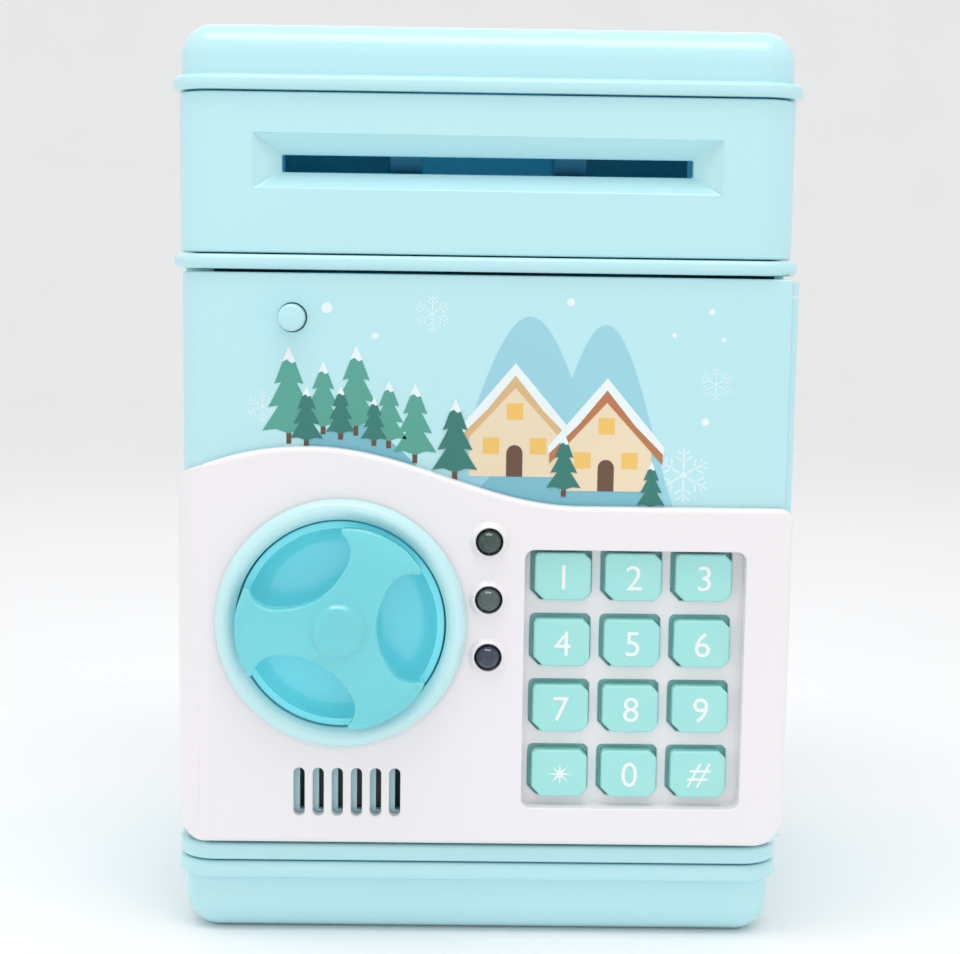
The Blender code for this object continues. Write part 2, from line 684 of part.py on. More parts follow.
def door_fascia(hinge):
    """The white front, with the sunk keypad floor, the lamp collars and the speaker grille."""
    half = FASCIA_HALF_W
    slab = outline(fascia_outline(), FACE, DOOR_BACK)
    rounded = box((-half, FACE, 10), (half, -30, 120), CORNER_R + 1, keep=front_left)
    behind = box((-half + 0.8, FASCIA_BACK, 0), (80, -20, 130), CORNER_R, keep=front_left)
    tray = box((WELL_X[0] - 1.5, FACE + 1, WELL_Z[0] - 1.5),
               (WELL_X[1] + 1.5, WELL_FLOOR + 1.4, WELL_Z[1] + 1.5))
    well = box((WELL_X[0], FACE - 1, WELL_Z[0]), (WELL_X[1], WELL_FLOOR, WELL_Z[1]), 2.5, along="Y")
    hole_x = KEY_SIZE[0] / 2 + 0.5
    hole_z = KEY_SIZE[1] / 2 + 0.5
    key_holes = []
    for x, z in key_places():
        middle_x = x - KEY_SHIFT[0]
        middle_z = z - KEY_SHIFT[1]
        key_holes.append(box((middle_x - hole_x, WELL_FLOOR - 0.5, middle_z - hole_z),
                             (middle_x + hole_x, WELL_FLOOR + 3, middle_z + hole_z)))
    collars = [rod((LED_X, FACE - 1.2, z), "Y", 2.2, 3.0, 24, end_radius=4.0) for z in LED_Z]
    openings = [rod((LED_X, FACE - 3, z), "Y", 8, LED_R + GAP, 20) for z in LED_Z]
    openings.append(rod((DIAL[0], FACE - 2, DIAL[1]), "Y", 8, RING_TUBE_R + GAP, 36))
    for index in range(GRILLE_COUNT):
        x = GRILLE_X + index * GRILLE_PITCH
        openings.append(box((x - GRILLE_W / 2, FACE - 2, GRILLE_Z[0]),
                            (x + GRILLE_W / 2, FACE + 6, GRILLE_Z[1]), 1.1, along="Y"))
    steps = [("&", rounded), ("-", behind), ("+", tray), ("-", well), ("-", together(key_holes)),
             ("+", together(collars)), ("-", together(openings))]
    add_part("door_fascia", slab, gloss(WHITE), steps,
             origin=(HINGE_X, HINGE_Y, 0), parent=hinge)


def door_back_cover(hinge):
    plate = box((-61.5, COVER_Y[0], 22.2), (59.5, COVER_Y[1], 137.5), 3, along="Y")
    shaft_hole = rod((DIAL[0], -40, DIAL[1]), "Y", 12, SHAFT_R + 0.4, 16)
    add_part("door_back_cover", plate, satin(PALE_BLUE), [("-", shaft_hole)],
             origin=(HINGE_X, HINGE_Y, 0), parent=hinge)


def dial_bezel(hinge):
    profile = [(RING_BORE_R, 2.2), (22.5, 3.0), (23.7, 3.3), (24.9, 2.8), (RING_R, 1.5),
               (RING_R, GAP), (RING_TUBE_R, GAP), (RING_TUBE_R, -6.5), (RING_BORE_R, -6.5)]
    add_turned("dial_bezel", profile, gloss(PALE_BLUE), DIAL, hinge, 36)


def dial_dish(hinge):
    outer = RING_BORE_R - GAP
    profile = [(2.7, -3.2), (18.0, -3.2), (19.8, -1.5), (19.8, 1.2), (outer, 1.2),
               (outer, -4.6), (2.7, -4.6)]
    add_turned("dial_dish", profile, gloss(CYAN), DIAL, hinge, 30)


def spoke_outline():
    """The three-armed handwheel from the front. Each arm is given as radii and half angles, from
    the middle of the pocket beside it, along its waist, to the middle of its wide end."""
    side = ((7.6, 60), (8.0, 48), (9.2, 34), (11.0, 26), (13.5, 20.5), (16.0, 19.5), (18.3, 22.5),
            (WHEEL_R - 1.2, 26.5), (WHEEL_R - 0.3, 25), (WHEEL_R, 12.5))
    other = [(radius, -angle) for radius, angle in reversed(side[1:])]
    points = []
    for arm in range(3):
        along = 182 - 120 * arm
        for radius, angle in (*side, (WHEEL_R, 0), *other):
            turned = math.radians(along + angle)
            points.append((DIAL[0] + radius * math.cos(turned),
                           DIAL[1] + radius * math.sin(turned)))
    return points


def dial_knob(hinge):
    at = (DIAL[0], FACE, DIAL[1])
    wheel = outline(spoke_outline(), *SPOKE_Y)
    hub = rod((DIAL[0], KNOB_FRONT + 1, DIAL[1]), "Y", 12.5, HUB_R, 28)
    nose = rod((DIAL[0], KNOB_FRONT, DIAL[1]), "Y", 1.5, HUB_R - 1.2, 28, end_radius=HUB_R)
    shaft = rod((DIAL[0], -48, DIAL[1]), "Y", 18.9, SHAFT_R, 16)
    add_part("dial_knob", wheel, gloss(CYAN), [("+", hub), ("+", nose), ("+", shaft)],
             origin=at, parent=hinge)


def dial_crank(hinge):
    x, z = DIAL
    low, high = CRANK_Y
    disc = rod((x, low, z), "Y", high - low, CRANK_R, 36)
    bore = rod((x, low - 1, z), "Y", 4, SHAFT_R + GAP, 16)
    notches = [box((x + 6.4, low - 1, z - 1.7), (x + 12, high + 1, z + 1.7)),
               box((x - 1.7, low - 1, z + 6.4), (x + 1.7, high + 1, z + 12))]
    pin = rod((x + CRANK_PIN_OFFSET, high - 0.5, z - CRANK_PIN_OFFSET), "Y", 5.0, CRANK_PIN_R, 16)
    add_part("dial_crank", disc, satin(WHITE), [("-", together(notches)), ("+", pin), ("-", bore)],
             origin=(x, FACE, z), parent=hinge)


def latch_bolt(hinge):
    x = DIAL[0] + CRANK_PIN_OFFSET
    reach = CRANK_PIN_R + 0.35
    bar = box((BOLT_X[0], BOLT_Y[0], BOLT_Z[0]), (BOLT_X[1], BOLT_Y[1], BOLT_Z[1]), 1.0, along="Y")
    slot = box((x - reach, BOLT_Y[0] - 1, 62.4), (x + reach, BOLT_Y[1] + 1, 67.2), 1.2, along="Y")
    add_part("latch_bolt", bar, satin(WHITE), [("-", slot)],
             origin=(BOLT_X[0], BOLT_Y[0], DIAL[1]), parent=hinge)


def lock_cover(hinge):
    pan = box((-50, COVER_Y[1] + GAP, 52), (10, -22.5, 84), 2.5, along="Y")
    room = box((-48.5, -40, 53.5), (8.5, -24, 82.5), 1.5, along="Y")
    bolt_slot = box((-55, BOLT_Y[0] - 0.4, BOLT_Z[0] - 0.4), (-45, BOLT_Y[1] + 0.3, BOLT_Z[1] + 0.4))
    add_part("lock_cover", pan, satin(PALE_BLUE), [("-", room), ("-", bolt_slot)],
             origin=(HINGE_X, HINGE_Y, 0), parent=hinge)


def lock_solenoid(hinge):
    axis_y = sum(CRANK_Y) / 2
    body = box((-13, -31.6, 61.8), (5, -24.6, 73.8), 0.8, along="X")
    bore = rod((-14, axis_y, DIAL[1]), "X", 16, PLUNGER_R + GAP, 14)
    add_part("lock_solenoid", body, metal(STEEL), [("-", bore)],
             origin=(HINGE_X, HINGE_Y, 0), parent=hinge)
    plunger = rod((PLUNGER_TIP_X, axis_y, DIAL[1]), "X", 16, PLUNGER_R, 14)
    add_part("solenoid_plunger", plunger, metal(STEEL),
             origin=(PLUNGER_TIP_X, axis_y, DIAL[1]), parent=hinge)


def speaker(hinge):
    x = GRILLE_X + GRILLE_PITCH * (GRILLE_COUNT - 1) / 2
    z = sum(GRILLE_Z) / 2 + 0.4
    frame = rod((x, FRONT + DOOR_SKIN + GAP, z), "Y", 2.0, 9.2, 28)
    magnet = rod((x, FRONT + 3.5, z), "Y", 5.0, 6.0, 24)
    add_part("speaker", frame, satin(BLACK), [("+", magnet)],
             origin=(HINGE_X, HINGE_Y, 0), parent=hinge)


def circuit_board(hinge):
    """The board behind the keys and lamps, with an arm that reaches the push button's switch."""
    low, high = -38.3, -36.7
    board = box((-2, low, 24), (58, high, 134))
    arm = box((-46, low, 106), (0, high, 134))
    switch = box((BUTTON[0] - 3, -40.3, BUTTON[1] - 3), (BUTTON[0] + 3, low + 0.5, BUTTON[1] + 3))
    chip = box((20, low - 1.5, 92), (32, low + 0.5, 104))
    add_part("circuit_board", board, satin(BOARD_GREEN), [("+", arm), ("+", switch), ("+", chip)],
             origin=(HINGE_X, HINGE_Y, 0), parent=hinge)


def key_membrane(hinge):
    sheet = box((WELL_X[0], -39.4, WELL_Z[0]), (WELL_X[1], -38.6, WELL_Z[1]))
    domes = [rod((x, -40.0, z), "Y", 0.9, 2.2, 8, end_radius=3.2) for x, z in key_places()]
    add_part("key_membrane", sheet, satin(RUBBER), [("+", together(domes))],
             origin=(HINGE_X, HINGE_Y, 0), parent=hinge)


def status_leds(hinge):
    for index, (z, tint) in enumerate(zip(LED_Z, LED_TINTS), 1):
        body = rod((LED_X, FACE - 1.4, z), "Y", 7.0, LED_R, 20)
        dome = rod((LED_X, FACE - 2.4, z), "Y", 1.2, LED_R * 0.62, 20, end_radius=LED_R)
        legs = [rod((LED_X, FACE + 5, z + side), "Y", 5.4, 0.3, 6) for side in (-1.27, 1.27)]
        add_part(f"status_led_{index}", body, gloss(tint), [("+", dome), ("+", together(legs))],
                 origin=(HINGE_X, HINGE_Y, 0), parent=hinge)


def keys(hinge):
    half_x, half_z = (size / 2 for size in KEY_SIZE)
    for name, (x, z) in zip(KEY_NAMES, key_places()):
        cap = box((x - half_x, KEY_FACE, z - half_z), (x + half_x, -42.6, z + half_z), 1.4, along="Y")
        middle_x = x - KEY_SHIFT[0]
        middle_z = z - KEY_SHIFT[1]
        flange = box((middle_x - half_x - 1, -43.3, middle_z - half_z - 0.9),
                     (middle_x + half_x + 1, -42.3, middle_z + half_z + 0.9))
        stem = rod((x, -42.6, z), "Y", 0.8, 1.8, 12)
        add_part(name, cap, gloss(MINT), [("+", flange), ("+", stem)],
                 origin=(x, KEY_FACE, z), parent=hinge)


def push_button(hinge):
    x, z = BUTTON
    stem = rod((x, BUTTON_FRONT + 0.6, z), "Y", 6.4, BUTTON_R, 24)
    nose = rod((x, BUTTON_FRONT, z), "Y", 0.8, BUTTON_R - 0.7, 24, end_radius=BUTTON_R)
    collar = rod((x, FRONT + DOOR_SKIN + 0.5, z), "Y", 1.2, 4.2, 20)
    add_part("push_button", stem, gloss(PALE_BLUE), [("+", nose), ("+", collar)],
             origin=(x, BUTTON_FRONT, z), parent=hinge)


def wire_loom():
    """The slack lead between the batteries and the board, looped beside the hinge."""
    route = [Vector(p) for p in (
        (59.0, -14.0, 118.0), (57.6, -13.0, 112.0), (54.5, -12.0, 104.0), (51.0, -12.5, 97.0),
        (48.0, -15.0, 94.5), (46.2, -19.0, 97.0), (45.8, -23.5, 103.0), (46.6, -27.0, 109.6),
        (47.4, -29.6, 111.6), (47.8, -31.3, 111.9))]
    curve = bpy.data.curves.new("wire_loom", "CURVE")
    curve.dimensions = "3D"
    curve.bevel_depth = 1.1 * MM
    curve.bevel_resolution = 2
    curve.use_fill_caps = True
    points = smooth_route(route, 2)
    spline = curve.splines.new("POLY")
    spline.points.add(len(points) - 1)
    for point, place_at in zip(spline.points, points):
        point.co = (*(place_at * MM), 1.0)
    curve.materials.append(make_material("wire_loom", BLACK, 0.5, 0.0))
    PARTS.objects.link(bpy.data.objects.new("wire_loom", curve))


def smooth_route(points, steps):
    """Points on a Catmull-Rom curve through the route's own points."""
    ends = [points[0] * 2 - points[1], *points, points[-1] * 2 - points[-2]]
    route = []
    for before, start, end, after in zip(ends, ends[1:], ends[2:], ends[3:]):
        for i in range(steps):
            t = i / steps
            route.append(0.5 * (2 * start + (end - before) * t
                                + (2 * before - 5 * start + 4 * end - after) * t**2
                                + (3 * start - before - 3 * end + after) * t**3))
    route.append(points[-1])
    return route


def main():
    base_tray()
    case_screws()
    body_shell()
    hinge_pin()
    head_shell()
    top_cap()
    coin_chute()
    feed_deck()
    bill_guide()
    note_sensor()
    feed_motor()
    gear_train()
    feed_rollers("drive_shaft", "drive_roller", DRIVE_Z, 50.2)
    feed_rollers("pinch_shaft", "pinch_roller", PINCH_Z, 46.5)
    battery_box()
    battery_cells()
    battery_cover()
    hinge = door_hinge()
    door_parts = (door_panel, door_fascia, door_back_cover, dial_bezel, dial_dish, dial_knob,
                  dial_crank, latch_bolt, lock_cover, lock_solenoid, speaker, circuit_board,
                  key_membrane, status_leds, keys, push_button)
    for build in door_parts:
        build(hinge)
    wire_loom()


main()
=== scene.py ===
"""The looks of the toy cash-machine savings bank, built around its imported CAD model.

Sizes are in millimetres, as in the CAD source, and are turned into metres where a mesh is made.
+Z is up, the front faces -Y, and the origin is in the middle of the footprint.
"""

import math

import bmesh
import bpy
from mathutils import Matrix, Vector


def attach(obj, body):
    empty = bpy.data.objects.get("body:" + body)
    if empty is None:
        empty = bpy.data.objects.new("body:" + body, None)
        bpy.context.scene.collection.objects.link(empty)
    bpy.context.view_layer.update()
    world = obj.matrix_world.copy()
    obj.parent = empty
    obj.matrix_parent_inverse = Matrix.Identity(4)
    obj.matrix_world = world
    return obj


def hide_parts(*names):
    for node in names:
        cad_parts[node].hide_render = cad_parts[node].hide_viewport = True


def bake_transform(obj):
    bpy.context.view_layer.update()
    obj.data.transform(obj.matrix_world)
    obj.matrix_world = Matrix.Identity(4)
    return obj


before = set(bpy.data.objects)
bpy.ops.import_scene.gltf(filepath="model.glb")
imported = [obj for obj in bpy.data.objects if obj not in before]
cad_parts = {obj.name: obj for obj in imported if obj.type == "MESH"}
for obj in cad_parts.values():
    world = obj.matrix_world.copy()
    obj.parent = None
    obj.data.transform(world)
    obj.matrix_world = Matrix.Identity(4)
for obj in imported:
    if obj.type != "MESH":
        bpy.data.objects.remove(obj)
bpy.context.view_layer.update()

MM = 0.001
GAP = 0.3

# The case, as in the CAD source.
FLANGE_W = 128.5
CASE_W = 125.8
FRONT = -46.0
BACK = 60.0
HEIGHT = 188.5
WALL = 2.0
CORNER_R = 8.0
BEAD = 1.3
BASE_HALF = 64.0
BASE_TOP = 15.9
BASE_BEAD_Z = 12.2
BASE_EDGE_R = 6.6
SILL_HALF = 63.85
SILL_Z = (16.2, 19.8)
DOOR_Z = (20.8, 138.9)
BAND_HALF = 64.2
BAND_Z = (139.5, 142.5)
HEAD_Z = (142.8, 174.7)
FLANGE_Z = (175.0, 177.9)
CAP_W = 124.7
CAP_EDGE_R = 6.6
SCREW_PLACES = [(x, y) for x in (-48.0, 48.0) for y in (-34.0, 46.0)]

# The door and its hinge.
HINGE_X = 62.0
HINGE_Y = -42.5
BARREL_R = 2.1
PIN_HOLE_R = 1.1
BARREL_Z = (25.0, 135.2)
KNUCKLES_Z = ((21.6, 24.7), (135.5, 138.3))
DOOR_X = (-62.5, 62.3)
DOOR_SKIN = 1.8
DOOR_BACK = -33.5
CASE_MOUTH = -31.0
LIP_X = -57.0
LIP_BACK = -29.0

# The white fascia and its dial.
FACE = -49.0
FASCIA_BACK = -46.3
FASCIA_HALF_W = 63.6
FASCIA_CORNER_R = 6.0
FASCIA_EDGE_R = 1.2
WAVE_CREST = (-35.7, 103.9)
WAVE_TROUGH = (20.0, 92.2)
WAVE_LEFT_R = 62.0
DIAL = (-29.0, 67.6)
RING_R = 25.8
RING_BORE_R = 21.6
RING_TUBE_R = 23.7
WHEEL_R = 21.0
KNOB_FRONT = -60.0
HUB_R = 5.5
SPOKE_Y = (-58.8, -54.0)
SHAFT_R = 1.9

# Keys, lamps, grille and push button.
WELL_X = (8.7, 54.2)
WELL_Z = (28.8, 83.2)
WELL_FLOOR = -45.0
KEY_X = (16.6, 31.15, 45.7)
KEY_Z = (77.5, 63.6, 49.7, 35.8)
KEY_NAMES = ("key_1", "key_2", "key_3", "key_4", "key_5", "key_6",
             "key_7", "key_8", "key_9", "key_star", "key_0", "key_hash")
KEY_SIZE = (11.6, 9.9)
KEY_FACE = -47.3
KEY_SHIFT = (0.3, -0.35)
KEY_PLACES = [(x, z) for z in KEY_Z for x in KEY_X]
LED_X = 1.3
LED_Z = (84.9, 72.9, 60.9)
LED_R = 2.5
GRILLE_X = -37.6
GRILLE_PITCH = 3.98
GRILLE_COUNT = 6
GRILLE_Z = (26.7, 36.9)
GRILLE_W = 2.3
BUTTON = (-39.3, 129.9)
BUTTON_R = 2.75
BUTTON_FRONT = -49.7

# Note slot, coin slot and battery cover.
SLOT_HALF_W = 41.7
SLOT_Z = (159.1, 162.5)
SLOT_MOUTH_HALF_W = 47.0
SLOT_MOUTH_Z = (155.6, 166.4)
SLOT_DEPTH = 4.0
DROP_X = 44.0
DROP_Y = (13.0, 50.0)
COIN_Y = 33.5
COIN_SLOT = (30.0, 3.5)
BAY_X = 29.0
BAY_Z = (22.0, 70.0)
TAB_X = 6.3
TAB_TOP = 77.3
COVER_SCREW_Z = 74.3

# Printed picture on the door: how far each layer of ink stands off the plastic.
PRINT_LAYER = 0.035


# Edges sharper than ROUNDED_ANGLE are rounded, and those sharper than SHARP_ANGLE are shaded sharp.
ROUNDED_ANGLE = 38
SHARP_ANGLE = 40


# Shapes, drawn in millimetres

def place(bm, matrix=Matrix()):
    """Moves a shape drawn in millimetres and turns it into metres."""
    bmesh.ops.transform(bm, matrix=Matrix.Scale(MM, 4) @ matrix, verts=bm.verts)
    return bm


def bevel(bm, edges, radius, segments):
    bmesh.ops.bevel(bm, geom=edges, offset=radius, segments=segments, profile=0.5,
                    affect="EDGES", clamp_overlap=True)


def box(low, high, radius=0.0, along="Z", keep=None, segments=8):
    """A block. radius rounds its edges along one axis, where keep(point) is true."""
    bm = bmesh.new()
    bmesh.ops.create_cube(bm, size=1.0)
    middle = Vector([(a + b) / 2 for a, b in zip(low, high)])
    stretch = Matrix.Diagonal((*[b - a for a, b in zip(low, high)], 1.0))
    bmesh.ops.transform(bm, matrix=Matrix.Translation(middle) @ stretch, verts=bm.verts)
    axis = "XYZ".index(along)
    if radius:
        chosen = []
        for edge in bm.edges:
            start, end = (vert.co for vert in edge.verts)
            if abs(start[axis] - end[axis]) > 1e-4 and (keep is None or keep((start + end) / 2)):
                chosen.append(edge)
        bevel(bm, chosen, radius, segments)
    return place(bm)


def rod(start, axis, length, radius, segments=48):
    """A cylinder from start along axis ("X", "Y" or "Z")."""
    bm = bmesh.new()
    bmesh.ops.create_cone(bm, cap_ends=True, segments=segments, radius1=radius,
                          radius2=radius, depth=length)
    direction = Vector([float(letter == axis) for letter in "XYZ"])
    turn = direction.to_track_quat("Z", "Y").to_matrix().to_4x4()
    middle = Vector(start) + direction * length / 2
    return place(bm, Matrix.Translation(middle) @ turn)


def plate(points, front, back, rim=0.0, segments=5):
    """A flat outline of (x, z) points made solid from front to back. rim rounds its front edge."""
    bm = bmesh.new()
    near = [bm.verts.new((x, front, z)) for x, z in points]
    far = [bm.verts.new((x, back, z)) for x, z in points]
    face = bm.faces.new(near)
    bm.faces.new(list(reversed(far)))
    count = len(points)
    for i in range(count):
        bm.faces.new((near[i], far[i], far[(i + 1) % count], near[(i + 1) % count]))
    bmesh.ops.recalc_face_normals(bm, faces=bm.faces)
    if rim:
        bevel(bm, list(face.edges), rim, segments)
    return place(bm)


def footprint(half, front, back, radius, z):
    """One level of the case seen from above: a rectangle with round corners, anticlockwise."""
    points = []
    for x, y, start in ((half, back, 0), (-half, back, 90), (-half, front, 180), (half, front, 270)):
        centre = (x - math.copysign(radius, x), y - (radius if y == back else -radius))
        points += [(px, py, z) for px, py in arc(centre, radius, start, start + 90, 12)]
    return points


def loft(half, front, back, radius, profile, closed=False):
    """A case layer that follows a profile of (distance inwards from the widest level, height).
    A closed profile makes an open tube, and any other one gets a flat face at each end."""
    bm = bmesh.new()
    rings = []
    for inwards, z in profile:
        ring = footprint(half - inwards, front + inwards, back - inwards,
                         max(radius - inwards, 0.4), z)
        rings.append([bm.verts.new(point) for point in ring])
    pairs = list(zip(rings, rings[1:]))
    if closed:
        pairs.append((rings[-1], rings[0]))
    for lower, upper in pairs:
        for i in range(len(lower)):
            j = (i + 1) % len(lower)
            bm.faces.new((lower[i], lower[j], upper[j], upper[i]))
    if not closed:
        bm.faces.new(rings[0])
        bm.faces.new(rings[-1])
    bmesh.ops.recalc_face_normals(bm, faces=bm.faces)
    return place(bm)


def turned(centre, profile, steps=96):
    """A round shape about an axis along Y, from (radius, y) points. Where the first or last point
    is on the axis it is closed there, and otherwise the profile closes on itself."""
    bm = bmesh.new()
    rings = []
    for radius, y in profile:
        if radius < 1e-6:
            rings.append([bm.verts.new((centre[0], y, centre[1]))])
            continue
        angles = [2 * math.pi * i / steps for i in range(steps)]
        rings.append([bm.verts.new((centre[0] + radius * math.cos(a), y,
                                    centre[1] + radius * math.sin(a))) for a in angles])
    pairs = list(zip(rings, rings[1:]))
    if len(rings[0]) > 1:
        pairs.append((rings[-1], rings[0]))
    for first, second in pairs:
        for i in range(steps):
            j = (i + 1) % steps
            corners = [first[i % len(first)], first[j % len(first)],
                       second[j % len(second)], second[i % len(second)]]
            bm.faces.new(list(dict.fromkeys(corners)))
    bmesh.ops.recalc_face_normals(bm, faces=bm.faces)
    return place(bm)


def together(shapes):
    """Several shapes that don't touch, as one."""
    bm = bmesh.new()
    for shape in shapes:
        mesh = bpy.data.meshes.new("shape")
        shape.to_mesh(mesh)
        shape.free()
        bm.from_mesh(mesh)
        bpy.data.meshes.remove(mesh)
    return bm


def arc(centre, radius, start_deg, end_deg, count):
    points = []
    for i in range(count + 1):
        angle = math.radians(start_deg + (end_deg - start_deg) * i / count)
        points.append((centre[0] + radius * math.cos(angle), centre[1] + radius * math.sin(angle)))
    return points


def smooth_loop(points, steps):
    """Points on a closed Catmull-Rom curve through the given (x, z) points."""
    points = [Vector(p) for p in points]
    count = len(points)
    loop = []
    for i in range(count):
        before, start, end, after = (points[(i + k) % count] for k in (-1, 0, 1, 2))
        loop += [catmull(before, start, end, after, k / steps) for k in range(steps)]
    return [tuple(point) for point in loop]


def catmull(before, start, end, after, t):
    return 0.5 * (2 * start + (end - before) * t + (2 * before - 5 * start + 4 * end - after) * t**2
                  + (3 * start - before - 3 * end + after) * t**3)


# Pieces


def mesh_object(name, shape):
    mesh = bpy.data.meshes.new(name)
    shape.to_mesh(mesh)
    shape.free()
    obj = bpy.data.objects.new(name, mesh)
    bpy.context.scene.collection.objects.link(obj)
    return obj


def settled(obj):
    """Replaces obj's mesh by its modifiers' result, so that it can move with its body."""
    graph = bpy.context.evaluated_depsgraph_get()
    mesh = bpy.data.meshes.new_from_object(obj.evaluated_get(graph))
    old = obj.data
    obj.modifiers.clear()
    obj.data = mesh
    mesh.name = obj.name
    if old.users == 0:
        bpy.data.meshes.remove(old)


def rounding(obj, width):
    """Rounds the sharp edges."""
    weld = obj.modifiers.new("weld", "WELD")
    weld.merge_threshold = 2e-6
    edges = obj.modifiers.new("edges", "BEVEL")
    edges.width = width * MM
    edges.segments = 3
    edges.limit_method = "ANGLE"
    edges.angle_limit = math.radians(ROUNDED_ANGLE)
    edges.use_clamp_overlap = False


def carved(name, shape, steps=(), edge=0.0, first_edge=0.0):
    """A piece from Boolean steps (+ joins, - cuts, & keeps the overlap). first_edge rounds the
    edges of the shape before the steps, and edge rounds them all after."""
    operations = {"+": "UNION", "-": "DIFFERENCE", "&": "INTERSECT"}
    obj = mesh_object(name, shape)
    if first_edge:
        rounding(obj, first_edge)
    cutters = []
    for index, (sign, cutter) in enumerate(steps):
        cutters.append(mesh_object(f"cutter_{index}", cutter))
        modifier = obj.modifiers.new("step", "BOOLEAN")
        modifier.operation = operations[sign]
        modifier.solver = "EXACT"
        modifier.object = cutters[-1]
    if edge:
        rounding(obj, edge)
    settled(obj)
    for cutter in cutters:
        mesh = cutter.data
        bpy.data.objects.remove(cutter)
        bpy.data.meshes.remove(mesh)
    smoothed(obj)
    return obj


def smoothed(obj):
    """Smooth shading that leaves the wide faces flat and the sharp edges sharp."""
    obj.data.shade_smooth()
    obj.data.set_sharp_from_angle(angle=math.radians(SHARP_ANGLE))
    weights = obj.modifiers.new("normals", "WEIGHTED_NORMAL")
    weights.keep_sharp = True
    settled(obj)


def finished(obj, body, material, nodes=()):
    """Gives a piece its material and body, and hides the CAD nodes that it stands for."""
    obj.data.materials.clear()
    obj.data.materials.append(material)
    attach(obj, body)
    if nodes:
        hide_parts(*nodes)
    return obj


# Materials


def add_node(tree, kind, **values):
    node = tree.nodes.new("ShaderNode" + kind)
    for name, value in values.items():
        node.inputs[name.replace("_", " ")].default_value = value
    return node


def noise(tree, scale, detail=2.0, stretch=None):
    """Noise that stays on the surface, scale cells to the metre."""
    place_node = add_node(tree, "TexCoord")
    texture = add_node(tree, "TexNoise", Scale=scale, Detail=detail)
    source = place_node.outputs["Object"]
    if stretch:
        mapping = add_node(tree, "Mapping", Scale=stretch)
        tree.links.new(source, mapping.inputs["Vector"])
        source = mapping.outputs["Vector"]
    tree.links.new(source, texture.inputs["Vector"])
    return texture.outputs["Fac"]


def ranged(tree, source, low, high, to_low, to_high):
    node = add_node(tree, "MapRange", From_Min=low, From_Max=high, To_Min=to_low, To_Max=to_high)
    tree.links.new(source, node.inputs["Value"])
    return node.outputs["Result"]


def mixed(tree, share, first, second):
    """A colour between first and second, each a colour or another node's output."""
    node = tree.nodes.new("ShaderNodeMix")
    node.data_type = "RGBA"
    tree.links.new(share, node.inputs[0])
    for index, colour in ((6, first), (7, second)):
        if isinstance(colour, bpy.types.NodeSocket):
            tree.links.new(colour, node.inputs[index])
        else:
            node.inputs[index].default_value = (*colour, 1.0)
    return node.outputs[2]


def summed(tree, first, second):
    node = tree.nodes.new("ShaderNodeMath")
    node.operation = "ADD"
    tree.links.new(first, node.inputs[0])
    tree.links.new(second, node.inputs[1])
    return node.outputs[0]


def surface(name, colour, roughness, metallic=0.0, variation=0.04, wear=0.25,
            grain=1400.0, grain_depth=0.012, wave_depth=0.012, stretch=None, **shader_values):
    """A moulded or turned surface: cloudy colour, smudged roughness, rubbed edges and fine grain."""
    material = bpy.data.materials.new(name)
    material.use_nodes = True
    tree = material.node_tree
    shader = tree.nodes["Principled BSDF"]
    shader.inputs["Metallic"].default_value = metallic
    for key, value in shader_values.items():
        shader.inputs[key.replace("_", " ")].default_value = value
    cloud = ranged(tree, noise(tree, 12.0, 1.0), 0.2, 0.8, 0.0, 1.0)
    darker = [value * (1 - variation) for value in colour]
    lighter = [min(value * (1 + variation), 1.0) for value in colour]
    body = mixed(tree, cloud, darker, lighter)
    geometry = tree.nodes.new("ShaderNodeNewGeometry")
    worn = ranged(tree, geometry.outputs["Pointiness"], 0.56, 0.70, 0.0, wear)
    rubbed = [value + (1 - value) * 0.5 for value in colour]
    tree.links.new(mixed(tree, worn, body, rubbed), shader.inputs["Base Color"])
    smudge = ranged(tree, noise(tree, 45.0, 2.0), 0.2, 0.8, roughness * 0.9, roughness * 1.1)
    tree.links.new(smudge, shader.inputs["Roughness"])
    height = summed(tree, ranged(tree, noise(tree, grain, 2.0, stretch), 0.0, 1.0, 0.0, grain_depth),
                    ranged(tree, noise(tree, 35.0, 1.0), 0.0, 1.0, 0.0, wave_depth * 10))
    bump = add_node(tree, "Bump", Strength=0.5, Distance=0.0002)
    tree.links.new(height, bump.inputs["Height"])
    tree.links.new(bump.outputs["Normal"], shader.inputs["Normal"])
    return material


def board_surface():
    """A circuit board: green lacquer over paler copper tracks."""
    material = surface("board", (0.015, 0.14, 0.06), 0.35, wear=0.1)
    tree = material.node_tree
    shader = tree.nodes["Principled BSDF"]
    lacquer = shader.inputs["Base Color"].links[0].from_socket
    coordinates = add_node(tree, "TexCoord")
    tracks = add_node(tree, "TexVoronoi", Scale=260.0)
    tracks.feature = "DISTANCE_TO_EDGE"
    tree.links.new(coordinates.outputs["Object"], tracks.inputs["Vector"])
    edge = ranged(tree, tracks.outputs["Distance"], 0.04, 0.07, 0.7, 0.0)
    tree.links.new(mixed(tree, edge, lacquer, (0.10, 0.34, 0.14)), shader.inputs["Base Color"])
    return material


